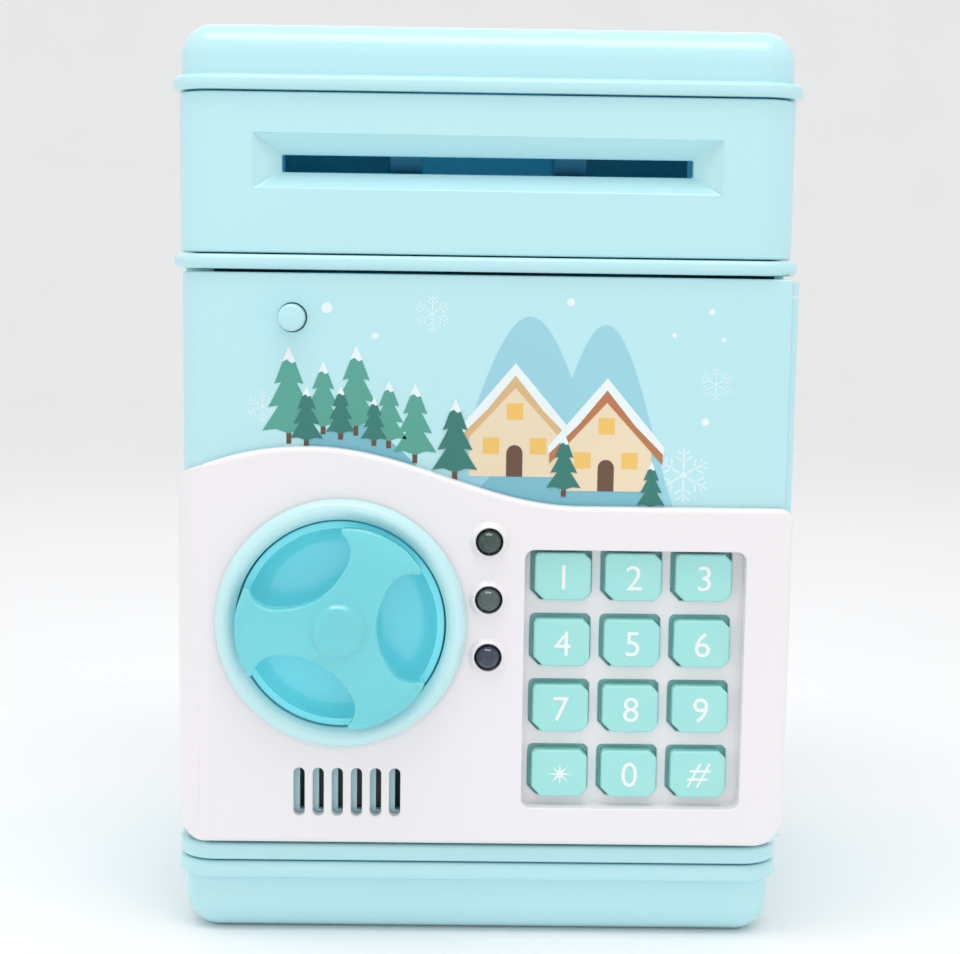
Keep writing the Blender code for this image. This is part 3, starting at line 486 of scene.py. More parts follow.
CASE_BLUE = (0.49, 0.80, 0.85)
MATERIALS = {
    "case": surface("case_plastic", CASE_BLUE, 0.25, variation=0.02, wear=0.06,
                    Coat_Weight=0.5, Coat_Roughness=0.07),
    "fascia": surface("fascia_plastic", (0.87, 0.835, 0.855), 0.25, variation=0.012, wear=0.05,
                      Coat_Weight=0.4, Coat_Roughness=0.07),
    "key": surface("key_plastic", (0.36, 0.77, 0.74), 0.32, wear=0.1, variation=0.03),
    "key_ink": surface("key_ink", (0.87, 0.92, 0.90), 0.4, wear=0.0, variation=0.02),
    "ring": surface("ring_plastic", (0.55, 0.85, 0.88), 0.2, wear=0.1, variation=0.02,
                    Coat_Weight=0.6, Coat_Roughness=0.05),
    # The wheel's faint emission is painted light: a glow standing for light coming through the clear
    # plastic, though the wheel is no lamp.
    "wheel": surface("wheel_plastic", (0.22, 0.82, 0.88), 0.10, wear=0.1, grain_depth=0.01,
                     wave_depth=0.05, variation=0.04, Transmission_Weight=0.35, IOR=1.49,
                     Subsurface_Weight=0.3, Subsurface_Scale=0.004, Coat_Weight=0.8,
                     Coat_Roughness=0.03, Emission_Color=(0.2, 0.70, 0.78, 1.0),
                     Emission_Strength=0.03),
    # The dish's emission is painted light: a glow standing for light coming through the clear plastic,
    # which also lifts the shade the wheel casts on the dish.
    "dish": surface("dish_plastic", (0.17, 0.80, 0.90), 0.14, wear=0.05, grain_depth=0.02,
                    wave_depth=0.06, Subsurface_Weight=0.3, Subsurface_Scale=0.003,
                    Coat_Weight=0.6, Coat_Roughness=0.04,
                    Emission_Color=(0.3, 0.70, 0.82, 1.0), Emission_Strength=0.07),
    "inner": surface("inner_plastic", (0.78, 0.82, 0.82), 0.45, variation=0.03),
    "inner_blue": surface("inner_case_plastic", (0.44, 0.74, 0.79), 0.42),
    # The guide's colour is painted light and shade: its plastic is light blue like the case, but it is
    # given the deep blue it shows in the note slot's shade, and its emission is a painted glow for the
    # light that comes through the slot.
    "guide": surface("guide_plastic", (0.05, 0.42, 0.60), 0.25, Coat_Weight=0.3,
                     Emission_Color=(0.0, 0.34, 0.60, 1.0), Emission_Strength=0.75),
    "black": surface("black_plastic", (0.018, 0.02, 0.03), 0.4, variation=0.2, wear=0.12),
    "rubber": surface("roller_rubber", (0.09, 0.30, 0.38), 0.75, variation=0.15, grain=900.0,
                      grain_depth=0.4, wear=0.2),
    "steel": surface("steel", (0.56, 0.57, 0.59), 0.24, metallic=1.0, variation=0.05, wear=0.3,
                     grain=900.0, grain_depth=0.15, stretch=(1.0, 1.0, 0.05)),
    "board": board_surface(),
    "cell": surface("cell_wrap", (0.03, 0.07, 0.24), 0.22, variation=0.12, Coat_Weight=0.5),
    "wire": surface("wire", (0.02, 0.02, 0.024), 0.45, variation=0.2, wear=0.1),
}
LED_TINTS = ((0.004, 0.045, 0.032), (0.05, 0.085, 0.085), (0.006, 0.016, 0.05))
INKS = {
    "white": (0.84, 0.93, 0.95),
    "frost": (0.68, 0.89, 0.92),
    "pine": (0.03, 0.20, 0.17),
    "pine_light": (0.09, 0.38, 0.30),
    "trunk": (0.14, 0.07, 0.04),
    "cream": (0.86, 0.72, 0.50),
    "roof": (0.50, 0.19, 0.07),
    "roof_pale": (0.72, 0.48, 0.22),
    "hill": (0.20, 0.52, 0.62),
    "hill_far": (0.33, 0.66, 0.76),
    "window": (0.90, 0.56, 0.14),
}


def ink(colour):
    name = f"ink_{colour}"
    found = bpy.data.materials.get(name)
    return found or surface(name, INKS[colour], 0.35, variation=0.08, wear=0.0, grain_depth=0.03)


# Case


def bead(outer, low, high, radius):
    """The outer side of a bead or rim in a loft's profile, with both its edges round."""
    return (arc((outer + radius, low + radius), radius, 270, 180, 5)
            + arc((outer + radius, high - radius), radius, 180, 90, 5))


def base_tray():
    """A tray with a round lower edge, a bead along its top, and four posts for the case screws."""
    bead_stands = 1.6
    wall = 4.0
    floor = 2.4
    turn = arc((bead_stands + BASE_EDGE_R, BASE_EDGE_R), BASE_EDGE_R, 270, 180, 12)
    profile = (turn + [(bead_stands, BASE_BEAD_Z - 0.4), (bead_stands - 0.1, BASE_BEAD_Z - 0.1)]
               + bead(0.0, BASE_BEAD_Z, BASE_TOP, 1.2) + [(wall, BASE_TOP)]
               + arc((wall + 1.0, floor + 1.0), 1.0, 180, 270, 5))
    tray = loft(BASE_HALF, FRONT - 1.1, BACK - 0.2, CORNER_R + 1, profile)
    posts = [rod((x, y, floor - 0.4), "Z", BASE_TOP - floor + 0.4, 4.0) for x, y in SCREW_PLACES]
    sinks = [rod((x, y, -1), "Z", 4.9, 3.2) for x, y in SCREW_PLACES]
    holes = [rod((x, y, -1), "Z", 20, 1.5, 24) for x, y in SCREW_PLACES]
    steps = [("+", together(posts)), ("-", together(sinks)), ("-", together(holes))]
    finished(carved("base", tray, steps), "root", MATERIALS["case"], ["base_tray"])


def body_shell():
    """Walls open to the door, the sill under it, the band over it and the two hinge knuckles."""
    half = CASE_W / 2
    back = BACK - BEAD
    inner = half - WALL
    walls = box((-half, CASE_MOUTH, SILL_Z[0] + 1), (half, back, BAND_Z[1] - 1), CORNER_R,
                keep=lambda point: point.y > 0, segments=14)
    sill = loft(SILL_HALF, FRONT - 0.7, back + 0.9, CORNER_R + 0.5, bead(0.0, *SILL_Z, 0.8))
    band = loft(BAND_HALF, FRONT - 1.2, BACK, CORNER_R + 0.8, bead(0.0, *BAND_Z, 1.2))
    room = box((-inner, LIP_BACK, SILL_Z[1]), (inner, back - WALL, BAND_Z[0]), CORNER_R - 2,
               keep=lambda point: point.y > 0, segments=12)
    mouth = box((LIP_X, CASE_MOUTH - 20, SILL_Z[1]), (inner, LIP_BACK + 5, BAND_Z[0]))
    drop = box((-DROP_X, DROP_Y[0], 130), (DROP_X, DROP_Y[1], 150), 3)
    bay = box((-BAY_X, 50, BAY_Z[0]), (BAY_X, 65, BAY_Z[1]))
    tab = box((-TAB_X, 50, BAY_Z[1] - 5), (TAB_X, 65, TAB_TOP))
    holes = [rod((x, y, 10), "Z", 12, 1.5, 24) for x, y in SCREW_PLACES]
    steps = [("+", sill), ("+", band), ("-", room), ("-", mouth), ("-", drop), ("-", bay), ("-", tab),
             ("-", together(holes))]
    for low, high in KNUCKLES_Z:
        steps.append(("+", box((HINGE_X - 1.1, HINGE_Y, low), (half, CASE_MOUTH + 2, high))))
        steps.append(("+", rod((HINGE_X, HINGE_Y, low), "Z", high - low, BARREL_R)))
    steps.append(("-", rod((HINGE_X, HINGE_Y, 21), "Z", 117.8, PIN_HOLE_R, 24)))
    shell = carved("body", walls, steps)
    finished(shell, "root", MATERIALS["case"], ["body_shell"])


def slot_mouth():
    """The note slot's sloped mouth: a block whose inner end is narrowed to the slot."""
    bm = bmesh.new()
    bmesh.ops.create_cube(bm, size=2.0)
    for vert in bm.verts:
        outer = vert.co.y < 0
        half_w = SLOT_MOUTH_HALF_W if outer else SLOT_HALF_W
        low, high = SLOT_MOUTH_Z if outer else SLOT_Z
        y = FRONT - 0.001 if outer else FRONT + SLOT_DEPTH
        vert.co = (vert.co.x * half_w, y, (low + high) / 2 + vert.co.z * (high - low) / 2)
    return place(bm)


def head_shell():
    half = CASE_W / 2
    profile = bead(0.0, *HEAD_Z, 0.5) + [(2.2, HEAD_Z[1]), (2.2, HEAD_Z[0])]
    walls = loft(half, FRONT, BACK - BEAD, CORNER_R, profile, closed=True)
    block = box((-49, FRONT + 1.5, 153.2), (49, FRONT + 4.8, 168.8))
    slot = box((-SLOT_HALF_W, FRONT + 3, SLOT_Z[0]), (SLOT_HALF_W, FRONT + 8, SLOT_Z[1]))
    steps = [("+", block), ("-", slot_mouth()), ("-", slot)]
    head = carved("head", walls, steps, edge=0.3)
    finished(head, "root", MATERIALS["case"], ["head_shell"])


def top_cap():
    """A flange with a round rim under a deep lid, with the coin slot towards the back."""
    low, high = FLANGE_Z
    step = (FLANGE_W - CAP_W) / 2
    inside = 4.2
    profile = (arc((inside + 4, 182.3), 4.0, 90, 180, 8) + [(inside, low)]
               + bead(0.0, low, high, 1.1) + arc((step - 0.3, high + 0.3), 0.3, 270, 360, 3)
               + arc((step + CAP_EDGE_R, HEIGHT - CAP_EDGE_R), CAP_EDGE_R, 180, 90, 16))
    lid = loft(FLANGE_W / 2, FRONT - BEAD, BACK, CORNER_R + 1, profile)
    half_x = COIN_SLOT[0] / 2
    half_y = COIN_SLOT[1] / 2
    slot = box((-half_x, COIN_Y - half_y, 180), (half_x, COIN_Y + half_y, 195), 0.6)
    cap = carved("cap", lid, [("-", slot)], edge=0.35)
    finished(cap, "root", MATERIALS["case"], ["top_cap"])


def battery_cover():
    """The cover in the back wall, with a grip of shallow grooves under its screw tab."""
    low, high = BAY_Z
    cover = box((-BAY_X + GAP, 57.5, low + GAP), (BAY_X - GAP, 59.2, high - GAP), 1.5, along="Y")
    tab = box((-TAB_X + GAP, 57.5, high - 2), (TAB_X - GAP, 59.2, TAB_TOP - GAP), 0.9, along="Y")
    sink = rod((0, 58.4, COVER_SCREW_Z), "Y", 5, 2.5)
    hole = rod((0, 50, COVER_SCREW_Z), "Y", 15, 1.5, 24)
    grooves = [box((-11, 58.8, z), (11, 60, z + 1.0), 0.45, along="Y") for z in (58, 60.4, 62.8, 65.2)]
    steps = [("+", tab), ("-", sink), ("-", hole), ("-", together(grooves))]
    piece = carved("battery_lid", cover, steps)
    finished(piece, "battery_lid", MATERIALS["case"], ["battery_cover"])


# Door


def front_left(point):
    return point.x < 0 and point.y < (FRONT + DOOR_BACK) / 2


def door_panel():
    left, right = DOOR_X
    low, high = DOOR_Z
    slab = box((left, FRONT, low), (right, DOOR_BACK, high), CORNER_R - 0.5, keep=front_left,
               segments=16)
    room = box((left + 2, FRONT + DOOR_SKIN, low + 1.8), (right - 2, -20, high - 1.8),
               CORNER_R - 2.5, keep=front_left, segments=12)
    notch_front = HINGE_Y - BARREL_R - GAP
    bottom_notch = box((HINGE_X - 3.2, notch_front, 10), (HINGE_X + 6, -20, KNUCKLES_Z[0][1] + GAP))
    top_notch = box((HINGE_X - 3.2, notch_front, KNUCKLES_Z[1][0] - GAP), (HINGE_X + 6, -20, 150))
    barrel = rod((HINGE_X, HINGE_Y, BARREL_Z[0]), "Z", BARREL_Z[1] - BARREL_Z[0], BARREL_R)
    pin_hole = rod((HINGE_X, HINGE_Y, 15), "Z", 130, PIN_HOLE_R, 24)
    openings = [rod((DIAL[0], FRONT - 2, DIAL[1]), "Y", 6, RING_TUBE_R + GAP, 96),
                rod((BUTTON[0], FRONT - 2, BUTTON[1]), "Y", 6, BUTTON_R + GAP),
                box((WELL_X[0] - 1.8, FRONT - 2, WELL_Z[0] - 1.8),
                    (WELL_X[1] + 1.8, FRONT + 4, WELL_Z[1] + 1.8))]
    openings += [rod((LED_X, FRONT - 2, z), "Y", 6, LED_R + 0.7) for z in LED_Z]
    for index in range(GRILLE_COUNT):
        x = GRILLE_X + 0.55 + index * GRILLE_PITCH
        openings.append(box((x - 0.6, FRONT - 2, GRILLE_Z[0] + 0.6),
                            (x + 0.6, FRONT + 4, GRILLE_Z[1] - 0.6)))
    steps = [("-", room), ("-", together([bottom_notch, top_notch])), ("+", barrel),
             ("-", pin_hole), ("-", together(openings))]
    door = carved("door_shell", slab, steps, first_edge=0.45)
    finished(door, "door", MATERIALS["case"], ["door_panel"])


def fascia_outline():
    """The fascia from the front: a crest over the dial that falls in a wave towards the keys."""
    half = FASCIA_HALF_W
    low = DOOR_Z[0]
    r = FASCIA_CORNER_R
    crest_x, crest_z = WAVE_CREST
    trough_x, trough_z = WAVE_TROUGH
    corner = 2.6
    points = arc((half - r, low + r), r, -90, 0, 12)
    points += arc((half - corner, trough_z - corner), corner, 0, 90, 8)
    steps = 48
    for i in range(steps + 1):
        share = i / steps
        lift = (1 - math.cos(math.pi * share)) / 2
        points.append((trough_x + (crest_x - trough_x) * share,
                       trough_z + (crest_z - trough_z) * lift))
    steps = 20
    for i in range(1, steps + 1):
        x = crest_x + (-half - crest_x) * i / steps
        drop = WAVE_LEFT_R - math.sqrt(WAVE_LEFT_R**2 - (x - crest_x) ** 2)
        points.append((x, crest_z - drop))
    return points + arc((-half + r, low + r), r, 180, 270, 12)


def rounded(corners):
    """An outline from (x, z, radius) corners, each turned as a curve of about its radius."""
    points = []
    count = 5
    total = len(corners)
    for i, (x, z, radius) in enumerate(corners):
        here = Vector((x, z))
        back = (Vector(corners[i - 1][:2]) - here).normalized()
        ahead = (Vector(corners[(i + 1) % total][:2]) - here).normalized()
        reach = radius / math.tan(back.angle(ahead) / 2)
        start = here + back * reach
        end = here + ahead * reach
        for k in range(count + 1):
            t = k / count
            points.append(tuple(start * (1 - t) ** 2 + here * 2 * t * (1 - t) + end * t**2))
    return points


def key_outline(x, z, grow=0.0, cut=1.5):
    """A key's outline: a soft upper left corner and three cut ones. cut is the upper right one's."""
    right = KEY_SIZE[0] / 2 + grow
    top = KEY_SIZE[1] / 2 + grow
    corners = ((-right, top, 1.3), (right - cut, top, 0.5), (right, top - cut, 0.5),
               (right, -top + 1.5, 0.5), (right - 1.5, -top, 0.5),
               (-right + 2.0, -top, 0.6), (-right, -top + 2.0, 0.6))
    return rounded([(x + dx, z + dz, r) for dx, dz, r in corners])


def door_fascia():
    """The white front, with the sunk keypad floor, the lamp collars and the speaker grille."""
    half = FASCIA_HALF_W
    slab = plate(fascia_outline(), FACE, DOOR_BACK, rim=FASCIA_EDGE_R)
    wrapped = box((-half, FACE, 10), (half + 5, -30, 120), CORNER_R + 1, keep=front_left, segments=18)
    behind = box((-half + 0.8, FASCIA_BACK, 0), (80, -20, 130), CORNER_R, keep=front_left, segments=16)
    tray = box((WELL_X[0] - 1.5, FACE + 1, WELL_Z[0] - 1.5),
               (WELL_X[1] + 1.5, WELL_FLOOR + 1.4, WELL_Z[1] + 1.5))
    well = box((WELL_X[0], FACE - 1, WELL_Z[0]), (WELL_X[1], WELL_FLOOR, WELL_Z[1]), 2.0, along="Y")
    key_holes = [plate(key_outline(x - KEY_SHIFT[0], z - KEY_SHIFT[1], 0.5, 0.8),
                       WELL_FLOOR - 0.5, WELL_FLOOR + 3) for x, z in KEY_PLACES]
    collars = [turned((LED_X, z), [(0, FACE - 1.2), (3.0, FACE - 1.2), (3.3, FACE - 1.05),
                                   (4.05, FACE + 0.2), (4.05, FACE + 1), (0, FACE + 1)], 64)
               for z in LED_Z]
    openings = [rod((LED_X, FACE - 3, z), "Y", 8, LED_R + GAP, 64) for z in LED_Z]
    openings.append(rod((DIAL[0], FACE - 2, DIAL[1]), "Y", 8, RING_TUBE_R + GAP, 96))
    for index in range(GRILLE_COUNT):
        x = GRILLE_X + index * GRILLE_PITCH
        openings.append(box((x - GRILLE_W / 2, FACE - 2, GRILLE_Z[0]),
                            (x + GRILLE_W / 2, FACE + 6, GRILLE_Z[1]), 1.1, along="Y"))
    steps = [("&", wrapped), ("-", behind), ("+", tray), ("-", well), ("-", together(key_holes)),
             ("+", together(collars)), ("-", together(openings))]
    fascia = carved("fascia", slab, steps, edge=0.3)
    finished(fascia, "door", MATERIALS["fascia"], ["door_fascia"])


# Dial


def quarter(centre, radii, start, end, count=8):
    """Part of an ellipse in a turned profile, as (radius, y) points."""
    points = []
    for i in range(count + 1):
        angle = math.radians(start + (end - start) * i / count)
        points.append((centre[0] + radii[0] * math.cos(angle), centre[1] - radii[1] * math.sin(angle)))
    return points


def dial_ring():
    """The raised ring round the dial, with a tube that reaches back through the door."""
    crest = RING_R - 2.0
    profile = (quarter((crest, FACE - 0.9), (2.0, 2.4), 0, 90)
               + quarter((crest, FACE - 1.4), (crest - RING_BORE_R, 1.9), 90, 180)
               + [(RING_BORE_R, FACE + 6.5), (RING_TUBE_R, FACE + 6.5), (RING_TUBE_R, FACE - GAP),
                  (RING_R - 0.2, FACE - GAP), (RING_R, FACE - GAP - 0.2)])
    ring = carved("dial_ring", turned(DIAL, profile, 128))
    finished(ring, "door", MATERIALS["ring"], ["dial_bezel"])


def dial_dish():
    """The round dish behind the handwheel, its side sweeping up to a narrow lip."""
    outer = RING_BORE_R - GAP
    profile = ([(2.7, FACE + 3.2)] + quarter((15.8, FACE - 0.8), (4.0, 4.0), -90, 0, 12)
               + [(19.8, FACE - 1.1), (20.0, FACE - 1.2), (outer - 0.2, FACE - 1.2),
                  (outer, FACE - 1.0), (outer, FACE + 4.6), (2.7, FACE + 4.6)])
    dish = carved("dial_cup", turned(DIAL, profile, 128))
    finished(dish, "door", MATERIALS["dish"], ["dial_dish"])


def wheel_outline():
    """The three-armed handwheel from the front. Each arm is given as radii and half angles, from
    the middle of the pocket beside it, along its waist, to the middle of its wide end."""
    side = ((7.6, 60), (8.0, 48), (9.2, 34), (11.0, 26), (13.5, 20.5), (16.0, 19.5), (18.3, 22.5),
            (WHEEL_R - 1.2, 26.5), (WHEEL_R - 0.3, 25), (WHEEL_R, 12.5))
    other = [(radius, -angle) for radius, angle in reversed(side[1:])]
    points = []
    for arm in range(3):
        along = 182 - 120 * arm
        for radius, angle in (*side, (WHEEL_R, 0), *other):
            at = math.radians(along + angle)
            points.append((DIAL[0] + radius * math.cos(at), DIAL[1] + radius * math.sin(at)))
    return smooth_loop(points, 4)


def softened(obj, voxel, passes):
    """Rounds every edge as a mould does: remeshed evenly, then relaxed."""
    remesh = obj.modifiers.new("remesh", "REMESH")
    remesh.mode = "VOXEL"
    remesh.voxel_size = voxel * MM
    relax = obj.modifiers.new("relax", "SMOOTH")
    relax.factor = 0.5
    relax.iterations = passes
    settled(obj)
    obj.data.shade_smooth()
    return obj


def handwheel():
    """A thick moulded wheel, crowned in front, on a hub and a shaft that reaches the lock."""
    low, high = SPOKE_Y
    wheel = plate(wheel_outline(), low - 1, high)
    crown = turned(DIAL, [(0, low - 0.2), (8, low), (15, low + 0.35), (WHEEL_R - 2, low + 0.9),
                          (WHEEL_R + 0.3, low + 2.0), (WHEEL_R + 0.3, high - 0.2), (WHEEL_R - 1, high),
                          (0, high)], 128)
    hub = turned(DIAL, [(0, KNOB_FRONT)] + quarter((HUB_R - 1.4, KNOB_FRONT + 1.4), (1.4, 1.4), 90, 0)
                 + [(HUB_R, FACE + 1.5), (0, FACE + 1.5)], 64)
    piece = softened(carved("handwheel", wheel, [("&", crown), ("+", hub)]), 0.3, 9)
    finished(piece, "dial", MATERIALS["wheel"], ["dial_knob"])
    shaft = carved("handwheel_shaft", rod((DIAL[0], FACE + 1, DIAL[1]), "Y", 18.9, SHAFT_R),
                   edge=0.2)
    finished(shaft, "dial", MATERIALS["dish"])


# Keys, lamps and push button


def glyph_outline(name, centre, front):
    """A white mark on a key: a digit or # from the built-in font, or a drawn star."""
    x, z = centre
    thickness = 0.06
    if name == "key_star":
        points = []
        for i in range(16):
            radius = 0.62 if i % 2 else 2.5
            angle = math.radians(90 + 22.5 * i)
            points.append((x + radius * math.cos(angle), z + radius * math.sin(angle)))
        return plate(points, front - thickness, front)
    curve = bpy.data.curves.new("mark", "FONT")
    curve.body = "#" if name == "key_hash" else name[-1]
    curve.size = 7.4
    curve.shear = 0.3 if name == "key_hash" else 0.0
    curve.extrude = thickness / 2
    holder = bpy.data.objects.new("mark", curve)
    bpy.context.scene.collection.objects.link(holder)
    graph = bpy.context.evaluated_depsgraph_get()
    mesh = bpy.data.meshes.new_from_object(holder.evaluated_get(graph))
    bm = bmesh.new()
    bm.from_mesh(mesh)
    bpy.data.objects.remove(holder)
    bpy.data.curves.remove(curve)
    bpy.data.meshes.remove(mesh)
    xs = [vert.co.x for vert in bm.verts]
    ys = [vert.co.y for vert in bm.verts]
    middle = Vector(((min(xs) + max(xs)) / 2, (min(ys) + max(ys)) / 2, 0))
    bmesh.ops.translate(bm, vec=-middle, verts=bm.verts)
    upright = Matrix.Rotation(math.pi / 2, 4, "X")
    return place(bm, Matrix.Translation((x, front - thickness / 2, z)) @ upright)


def keys():
    half_x, half_z = (size / 2 for size in KEY_SIZE)
    for name, (x, z) in zip(KEY_NAMES, KEY_PLACES):
        cap = plate(key_outline(x, z), KEY_FACE, -42.6, rim=0.8, segments=5)
        back_x = x - KEY_SHIFT[0]
        back_z = z - KEY_SHIFT[1]
        flange = box((back_x - half_x - 1, -43.3, back_z - half_z - 0.9),
                     (back_x + half_x + 1, -42.3, back_z + half_z + 0.9), 0.8, along="Y")
        stem = rod((x, -42.6, z), "Y", 0.8, 1.8)
        piece = carved(f"{name}_top", cap, [("+", flange), ("+", stem)])
        finished(piece, f"{name}_cap", MATERIALS["key"], [name])
        mark = mesh_object(f"{name}_mark", glyph_outline(name, (x + 0.15, z - 0.1), KEY_FACE))
        finished(mark, f"{name}_cap", MATERIALS["key_ink"])


def lamps():
    """Clear domed lamps, each dark inside with a different tint, with their two legs."""
    for index, (z, tint) in enumerate(zip(LED_Z, LED_TINTS), 1):
        dome = ([(0.0, FACE - 2.4)] + quarter((0.0, FACE), (LED_R, 2.4), 80, 10, 10)
                + [(LED_R, FACE), (LED_R, FACE + 5.6), (0.0, FACE + 5.6)])
        legs = [rod((LED_X, FACE + 5, z + side), "Y", 5.4, 0.3, 12) for side in (-1.27, 1.27)]
        glass = surface(f"lamp_{index}", tint, 0.06, variation=0.5, wear=0.0, grain_depth=0.0,
                        wave_depth=0.05, Coat_Weight=1.0, Coat_Roughness=0.02)
        lamp = carved(f"lamp_{index}", turned((LED_X, z), dome, 64), [("+", together(legs))])
        finished(lamp, "door", glass, [f"status_led_{index}"])


def push_button():
    front = BUTTON_FRONT
    collar = FRONT + DOOR_SKIN + 0.5
    profile = ([(0, front), (1.4, front + 0.05)]
               + quarter((BUTTON_R - 0.9, front + 0.95), (0.9, 0.85), 90, 0)
               + [(BUTTON_R, collar), (4.0, collar), (4.2, collar + 0.2), (4.2, collar + 1.2),
                  (BUTTON_R, collar + 1.2), (BUTTON_R, front + 7.0), (0, front + 7.0)])
    piece = carved("button", turned(BUTTON, profile, 64))
    finished(piece, "enter_button", MATERIALS["case"], ["push_button"])


# Printed picture


def printed(name, colour, outlines, layer):
    """Flat outlines of one ink colour on the door."""
    front = FRONT - PRINT_LAYER * layer
    shapes = [plate(points, front, FRONT - 0.005) for points in outlines]
    finished(mesh_object(f"print_{name}", together(shapes)), "door", ink(colour))


def strip(start, end, width):
    start = Vector(start)
    end = Vector(end)
    side = (end - start).normalized().orthogonal() * width / 2
    return [tuple(start + side), tuple(end + side), tuple(end - side), tuple(start - side)]


def disc(x, z, radius, count=20):
    return arc((x, z), radius, 0, 360 - 360 / count, count - 1)


def snowflake(x, z, radius):
    """Six arms with two pairs of branches each, as thin strips."""
    width = max(radius * 0.085, 0.2)
    outlines = []
    for arm in range(6):
        angle = math.radians(60 * arm + 30)
        along = Vector((math.cos(angle), math.sin(angle)))
        middle = Vector((x, z))
        outlines.append(strip(middle + along * radius * 0.16, middle + along * radius, width))
        for share, length in ((0.48, 0.32), (0.74, 0.24)):
            for side in (-1, 1):
                bent = angle + side * math.radians(55)
                out = Vector((math.cos(bent), math.sin(bent)))
                foot = middle + along * radius * share + out * width * 0.62
                outlines.append(strip(foot, foot + out * radius * length, width * 0.9))
    outlines.append(disc(x, z, radius * 0.13, 12))
    return outlines


def pine(x, z, height):
    """A pine: three stacked skirts, its trunk and the snow on its top, as separate outlines."""
    half = height * 0.27
    skirts = []
    for low, high, share in ((0.12, 0.55, 1.0), (0.36, 0.78, 0.78), (0.6, 1.0, 0.55)):
        base = z + height * low
        reach = half * share
        skirts.append([(x - reach, base + 0.25), (x - reach * 0.5, base + height * 0.03),
                       (x, base - height * 0.015), (x + reach * 0.5, base + height * 0.03),
                       (x + reach, base + 0.25), (x, z + height * high)])
    trunk = [(x - 0.5, z), (x + 0.5, z), (x + 0.5, z + height * 0.14), (x - 0.5, z + height * 0.14)]
    reach = half * 0.26
    snow = [(x - reach, z + height * 0.83), (x - reach * 0.3, z + height * 0.86),
            (x + reach * 0.4, z + height * 0.82), (x + reach, z + height * 0.84), (x, z + height)]
    return skirts, trunk, snow


def forest(name, trees, colour, layer):
    """A row of pines given as (x, foot, height)."""
    skirts = ([], [], [])
    trunks = []
    snow = []
    for x, z, height in trees:
        parts, trunk, cap = pine(x, z, height)
        for group, part in zip(skirts, parts):
            group.append(part)
        trunks.append(trunk)
        snow.append(cap)
    printed(f"{name}_trunks", "trunk", trunks, layer)
    for index, group in enumerate(skirts):
        printed(f"{name}_{index}", colour, group, layer + 0.5 + index * 0.3)
    printed(f"{name}_snow", "white", snow, layer + 1.5)


def hill(left, right, low, high):
    """The outline of a hill between two feet, its top a smooth hump."""
    points = [(right, low), (left, low)]
    for i in range(33):
        share = i / 32
        lift = math.sin(math.pi * share) ** 1.3
        points.append((left + (right - left) * share, low + 0.2 + (high - low) * lift))
    return points


def cottage(name, x, z, width, roof_colour, layer):
    """A small house from the front: wall, snowy gable roof, door and lit windows."""
    half = width / 2
    wall_top = z + width * 0.55
    peak = z + width * 1.2
    wall = [(x - half, z), (x + half, z), (x + half, wall_top), (x, peak - width * 0.16),
            (x - half, wall_top)]
    eave = half * 1.25
    fall = width * 0.2
    thick = width * 0.17
    roof = [(x, peak), (x - eave, wall_top - fall * 0.4), (x - eave, wall_top - fall * 0.4 - thick),
            (x, peak - thick * 1.3), (x + eave, wall_top - fall * 0.4 - thick),
            (x + eave, wall_top - fall * 0.4)]
    snow = [(x, peak + width * 0.05), (x - eave * 1.03, wall_top - fall * 0.3),
            (x - eave * 1.02, wall_top - fall * 0.3 - thick * 0.5),
            (x - eave * 0.5, (peak + wall_top - fall * 0.4) / 2 - thick * 0.62),
            (x, peak - thick * 0.5), (x + eave * 0.5, (peak + wall_top - fall * 0.4) / 2 - thick * 0.62),
            (x + eave * 1.02, wall_top - fall * 0.3 - thick * 0.5),
            (x + eave * 1.03, wall_top - fall * 0.3)]
    pane = width * 0.09
    windows = []
    for dx, dz in ((-0.26, 0.34), (0.26, 0.34), (0.0, 0.72)):
        cx = x + dx * width
        cz = z + dz * width
        windows.append([(cx - pane, cz - pane), (cx + pane, cz - pane), (cx + pane, cz + pane),
                        (cx - pane, cz + pane)])
    step = width * 0.09
    entry = [(x - step, z), (x + step, z)] + arc((x, z + width * 0.26), step, 0, 180, 8)
    printed(f"{name}_wall", "cream", [wall], layer)
    printed(f"{name}_windows", "window", windows, layer + 0.6)
    printed(f"{name}_entry", "trunk", [entry], layer + 0.6)
    printed(f"{name}_roof", roof_colour, [roof], layer + 1.0)
    printed(f"{name}_snow", "white", [snow], layer + 1.5)


SNOWFLAKES = ((-10.9, 131.0, 3.7), (-45.4, 111.8, 3.3), (-4.7, 101.2, 3.3), (47.2, 117.4, 3.5),
              (41.0, 98.7, 5.6))
SNOW_DOTS = ((-32.3, 131.9, 1.1), (17.2, 133.7, 0.8), (46.0, 132.1, 0.6), (48.5, 126.5, 0.5),
             (45.2, 109.7, 0.8), (-8.0, 108.3, 0.6), (38.4, 127.3, 0.5), (-22.5, 126.4, 0.7))


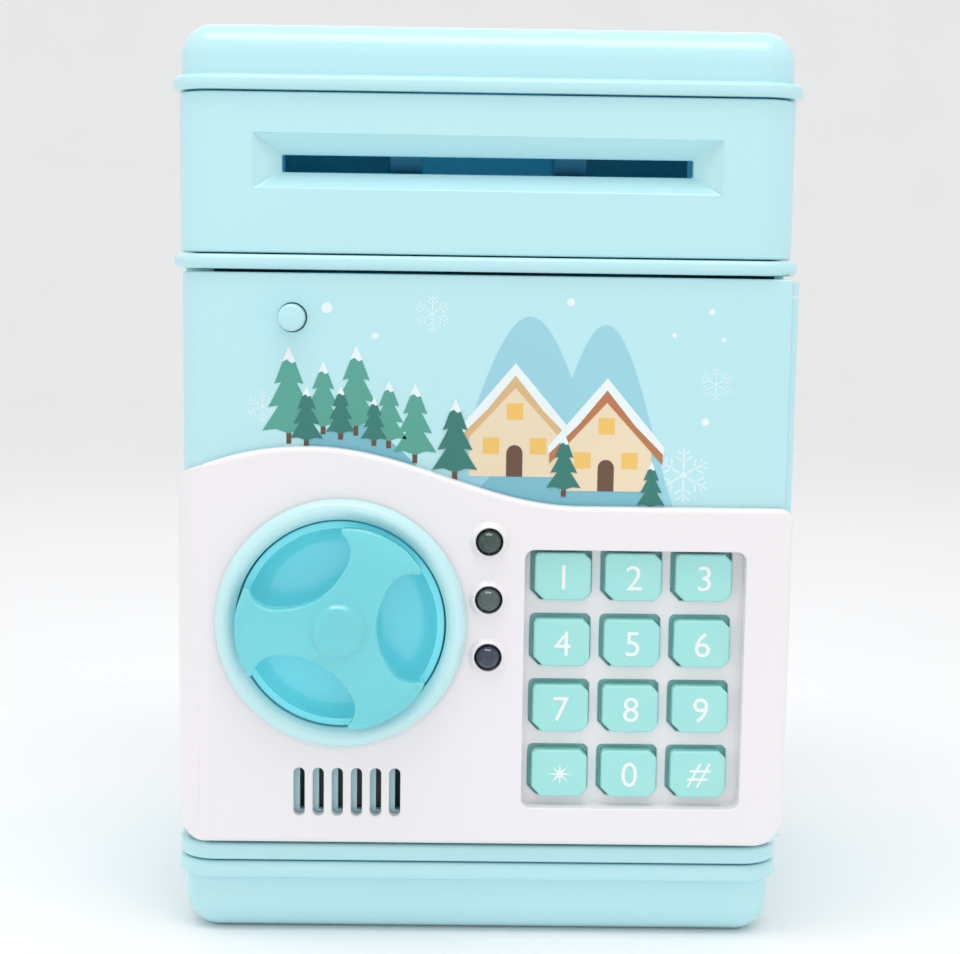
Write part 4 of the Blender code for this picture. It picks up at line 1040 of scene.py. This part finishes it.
def door_picture():
    """A winter scene in ink: hills, two cottages, pines, snowflakes and dots of snow."""
    flakes = [outline for x, z, radius in SNOWFLAKES for outline in snowflake(x, z, radius)]
    printed("flakes", "frost", flakes, 0.5)
    printed("dots", "white", [disc(x, z, radius) for x, z, radius in SNOW_DOTS], 0.5)
    printed("far_hills", "hill_far", [hill(-10.0, 28.0, 90.0, 130.5)], 1)
    printed("far_hill", "hill_far", [hill(9.0, 40.0, 90.0, 129.0)], 1.3)
    printed("near_hill", "hill", [hill(-7.0, 40.0, 90.0, 108.0)], 1.7)
    cottage("cottage_left", 6.2, 98.0, 18.6, "roof_pale", 2.2)
    cottage("cottage_right", 25.0, 95.2, 18.6, "roof", 4.0)
    forest("pines_right", ((-6.0, 97.0, 17.0), (16.4, 94.0, 13.0), (34.4, 91.0, 10.5)), "pine", 5.8)
    printed("left_hill", "hill", [hill(-46.0, -9.0, 96.0, 108.5)], 0.8)
    forest("pines_left", ((-40.0, 104.2, 20.0), (-33.0, 106.2, 15.0), (-26.3, 106.0, 18.5),
                          (-19.6, 103.5, 14.0), (-14.2, 100.5, 16.5)), "pine_light", 1.6)
    forest("pines_front", ((-36.4, 103.6, 12.5), (-29.4, 105.2, 11.0), (-22.6, 104.0, 10.0)),
           "pine", 3.4)


# Inside


def wire_loom():
    """The slack lead between the case and the door, made as one fixed tube."""
    route = [Vector(p) for p in (
        (59.0, -14.0, 118.0), (57.6, -13.0, 112.0), (54.5, -12.0, 104.0), (51.0, -12.5, 97.0),
        (48.0, -15.0, 94.5), (46.2, -19.0, 97.0), (45.8, -23.5, 103.0), (46.6, -27.0, 109.6),
        (47.4, -29.6, 111.6), (47.8, -31.3, 111.9))]
    ends = [route[0] * 2 - route[1], *route, route[-1] * 2 - route[-2]]
    curve = bpy.data.curves.new("loom", "CURVE")
    curve.dimensions = "3D"
    curve.bevel_depth = 1.1 * MM
    curve.bevel_resolution = 6
    curve.use_fill_caps = True
    points = []
    for before, start, end, after in zip(ends, ends[1:], ends[2:], ends[3:]):
        points += [catmull(before, start, end, after, k / 8) for k in range(8)]
    points.append(route[-1])
    spline = curve.splines.new("POLY")
    spline.points.add(len(points) - 1)
    for point, at in zip(spline.points, points):
        point.co = (*(at * MM), 1.0)
    holder = bpy.data.objects.new("loom", curve)
    bpy.context.scene.collection.objects.link(holder)
    graph = bpy.context.evaluated_depsgraph_get()
    mesh = bpy.data.meshes.new_from_object(holder.evaluated_get(graph))
    bpy.data.objects.remove(holder)
    mesh.shade_smooth()
    lead = bpy.data.objects.new("lead", mesh)
    bpy.context.scene.collection.objects.link(lead)
    mesh.materials.clear()
    mesh.materials.append(MATERIALS["wire"])
    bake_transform(lead)
    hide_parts("wire_loom")


CARRIED = {
    "inner_blue": ("door_back_cover", "lock_cover"),
    "inner": ("coin_chute", "feed_deck", "roller_gear", "idle_gear", "dial_crank", "latch_bolt"),
    "guide": ("bill_guide",),
    "black": ("note_sensor", "battery_box", "speaker"),
    "rubber": ("drive_roller_left", "drive_roller_right", "pinch_roller_left",
               "pinch_roller_right", "key_membrane"),
    "steel": ("hinge_pin", "case_screw_1", "case_screw_2", "case_screw_3", "case_screw_4",
              "feed_motor", "drive_shaft", "pinch_shaft", "motor_pinion", "lock_solenoid",
              "solenoid_plunger", "battery_cover_screw"),
    "board": ("circuit_board",),
    "cell": ("battery_cell_1", "battery_cell_2", "battery_cell_3"),
}


def carried_over():
    """CAD parts whose shape is right keep it, with a finish of their own."""
    for finish, names in CARRIED.items():
        for name in names:
            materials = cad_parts[name].data.materials
            materials.clear()
            materials.append(MATERIALS[finish])


# Stage

CAMERA_AT = (-5.7, -417.0, 136.8)
CAMERA_DOWN = 7.51
CAMERA_RIGHT = 0.78
CAMERA_ROLL = 0.8
CAMERA_LENS = 68.1
CAMERA_SHIFT = 0.05


def camera():
    data = bpy.data.cameras.new("camera")
    data.lens = CAMERA_LENS
    data.sensor_width = 36.0
    data.shift_y = CAMERA_SHIFT
    data.clip_start = 0.01
    obj = bpy.data.objects.new("camera", data)
    bpy.context.scene.collection.objects.link(obj)
    turn = (Matrix.Rotation(math.radians(-CAMERA_RIGHT), 4, "Z")
            @ Matrix.Rotation(math.radians(90 - CAMERA_DOWN), 4, "X")
            @ Matrix.Rotation(math.radians(CAMERA_ROLL), 4, "Z"))
    obj.matrix_world = Matrix.Translation(Vector(CAMERA_AT) * MM) @ turn
    bpy.context.scene.camera = obj


def softbox(name, at, target, size, energy, colour=(1.0, 1.0, 1.0)):
    data = bpy.data.lights.new(name, "AREA")
    data.shape = "RECTANGLE"
    data.size, data.size_y = (side * MM for side in size)
    data.energy = energy
    data.color = colour
    obj = bpy.data.objects.new(name, data)
    bpy.context.scene.collection.objects.link(obj)
    obj.location = Vector(at) * MM
    direction = (Vector(target) - Vector(at)).normalized()
    obj.rotation_euler = direction.to_track_quat("-Z", "Y").to_euler()


def lights():
    softbox("key_light", (-30, -190, 640), (0, -60, 100), (520, 220), 1.2)
    softbox("fill_left", (-620, -320, 220), (0, 0, 90), (500, 500), 0.12, (0.97, 0.99, 1.0))
    softbox("fill_right", (620, -260, 260), (0, 0, 90), (500, 500), 0.1, (1.0, 0.985, 0.97))
    softbox("front_window", (60, -900, 430), (0, 0, 90), (900, 600), 0.2)
    softbox("back_light", (0, 620, 520), (0, 0, 100), (700, 400), 0.25)
    world = bpy.data.worlds.new("studio")
    world.use_nodes = True
    background = world.node_tree.nodes["Background"]
    background.inputs["Color"].default_value = (0.95, 0.955, 0.96, 1.0)
    background.inputs["Strength"].default_value = 0.9
    bpy.context.scene.world = world


def floor():
    """A pale sweep: flat under the object, then curving up behind it."""
    bm = bmesh.new()
    reach = 3000.0
    bend = 1400.0
    rise = 900.0
    line = [(-reach, 0.0), (bend, 0.0)]
    line += [(bend + rise * math.sin(math.radians(a)), rise - rise * math.cos(math.radians(a)))
             for a in range(6, 91, 6)]
    left = [bm.verts.new((-reach, y, z)) for y, z in line]
    right = [bm.verts.new((reach, y, z)) for y, z in line]
    for i in range(len(line) - 1):
        bm.faces.new((left[i], right[i], right[i + 1], left[i + 1]))
    sweep = mesh_object("sweep", place(bm))
    sweep.data.shade_smooth()
    sweep.data.materials.append(surface("sweep", (0.94, 0.94, 0.945), 0.8, variation=0.01,
                                        wear=0.0, grain_depth=0.02))


def main():
    base_tray()
    body_shell()
    head_shell()
    top_cap()
    battery_cover()
    door_panel()
    door_fascia()
    dial_ring()
    dial_dish()
    handwheel()
    keys()
    lamps()
    push_button()
    door_picture()
    wire_loom()
    carried_over()
    camera()
    lights()
    floor()
    bpy.context.scene.view_settings.view_transform = "Standard"


main()
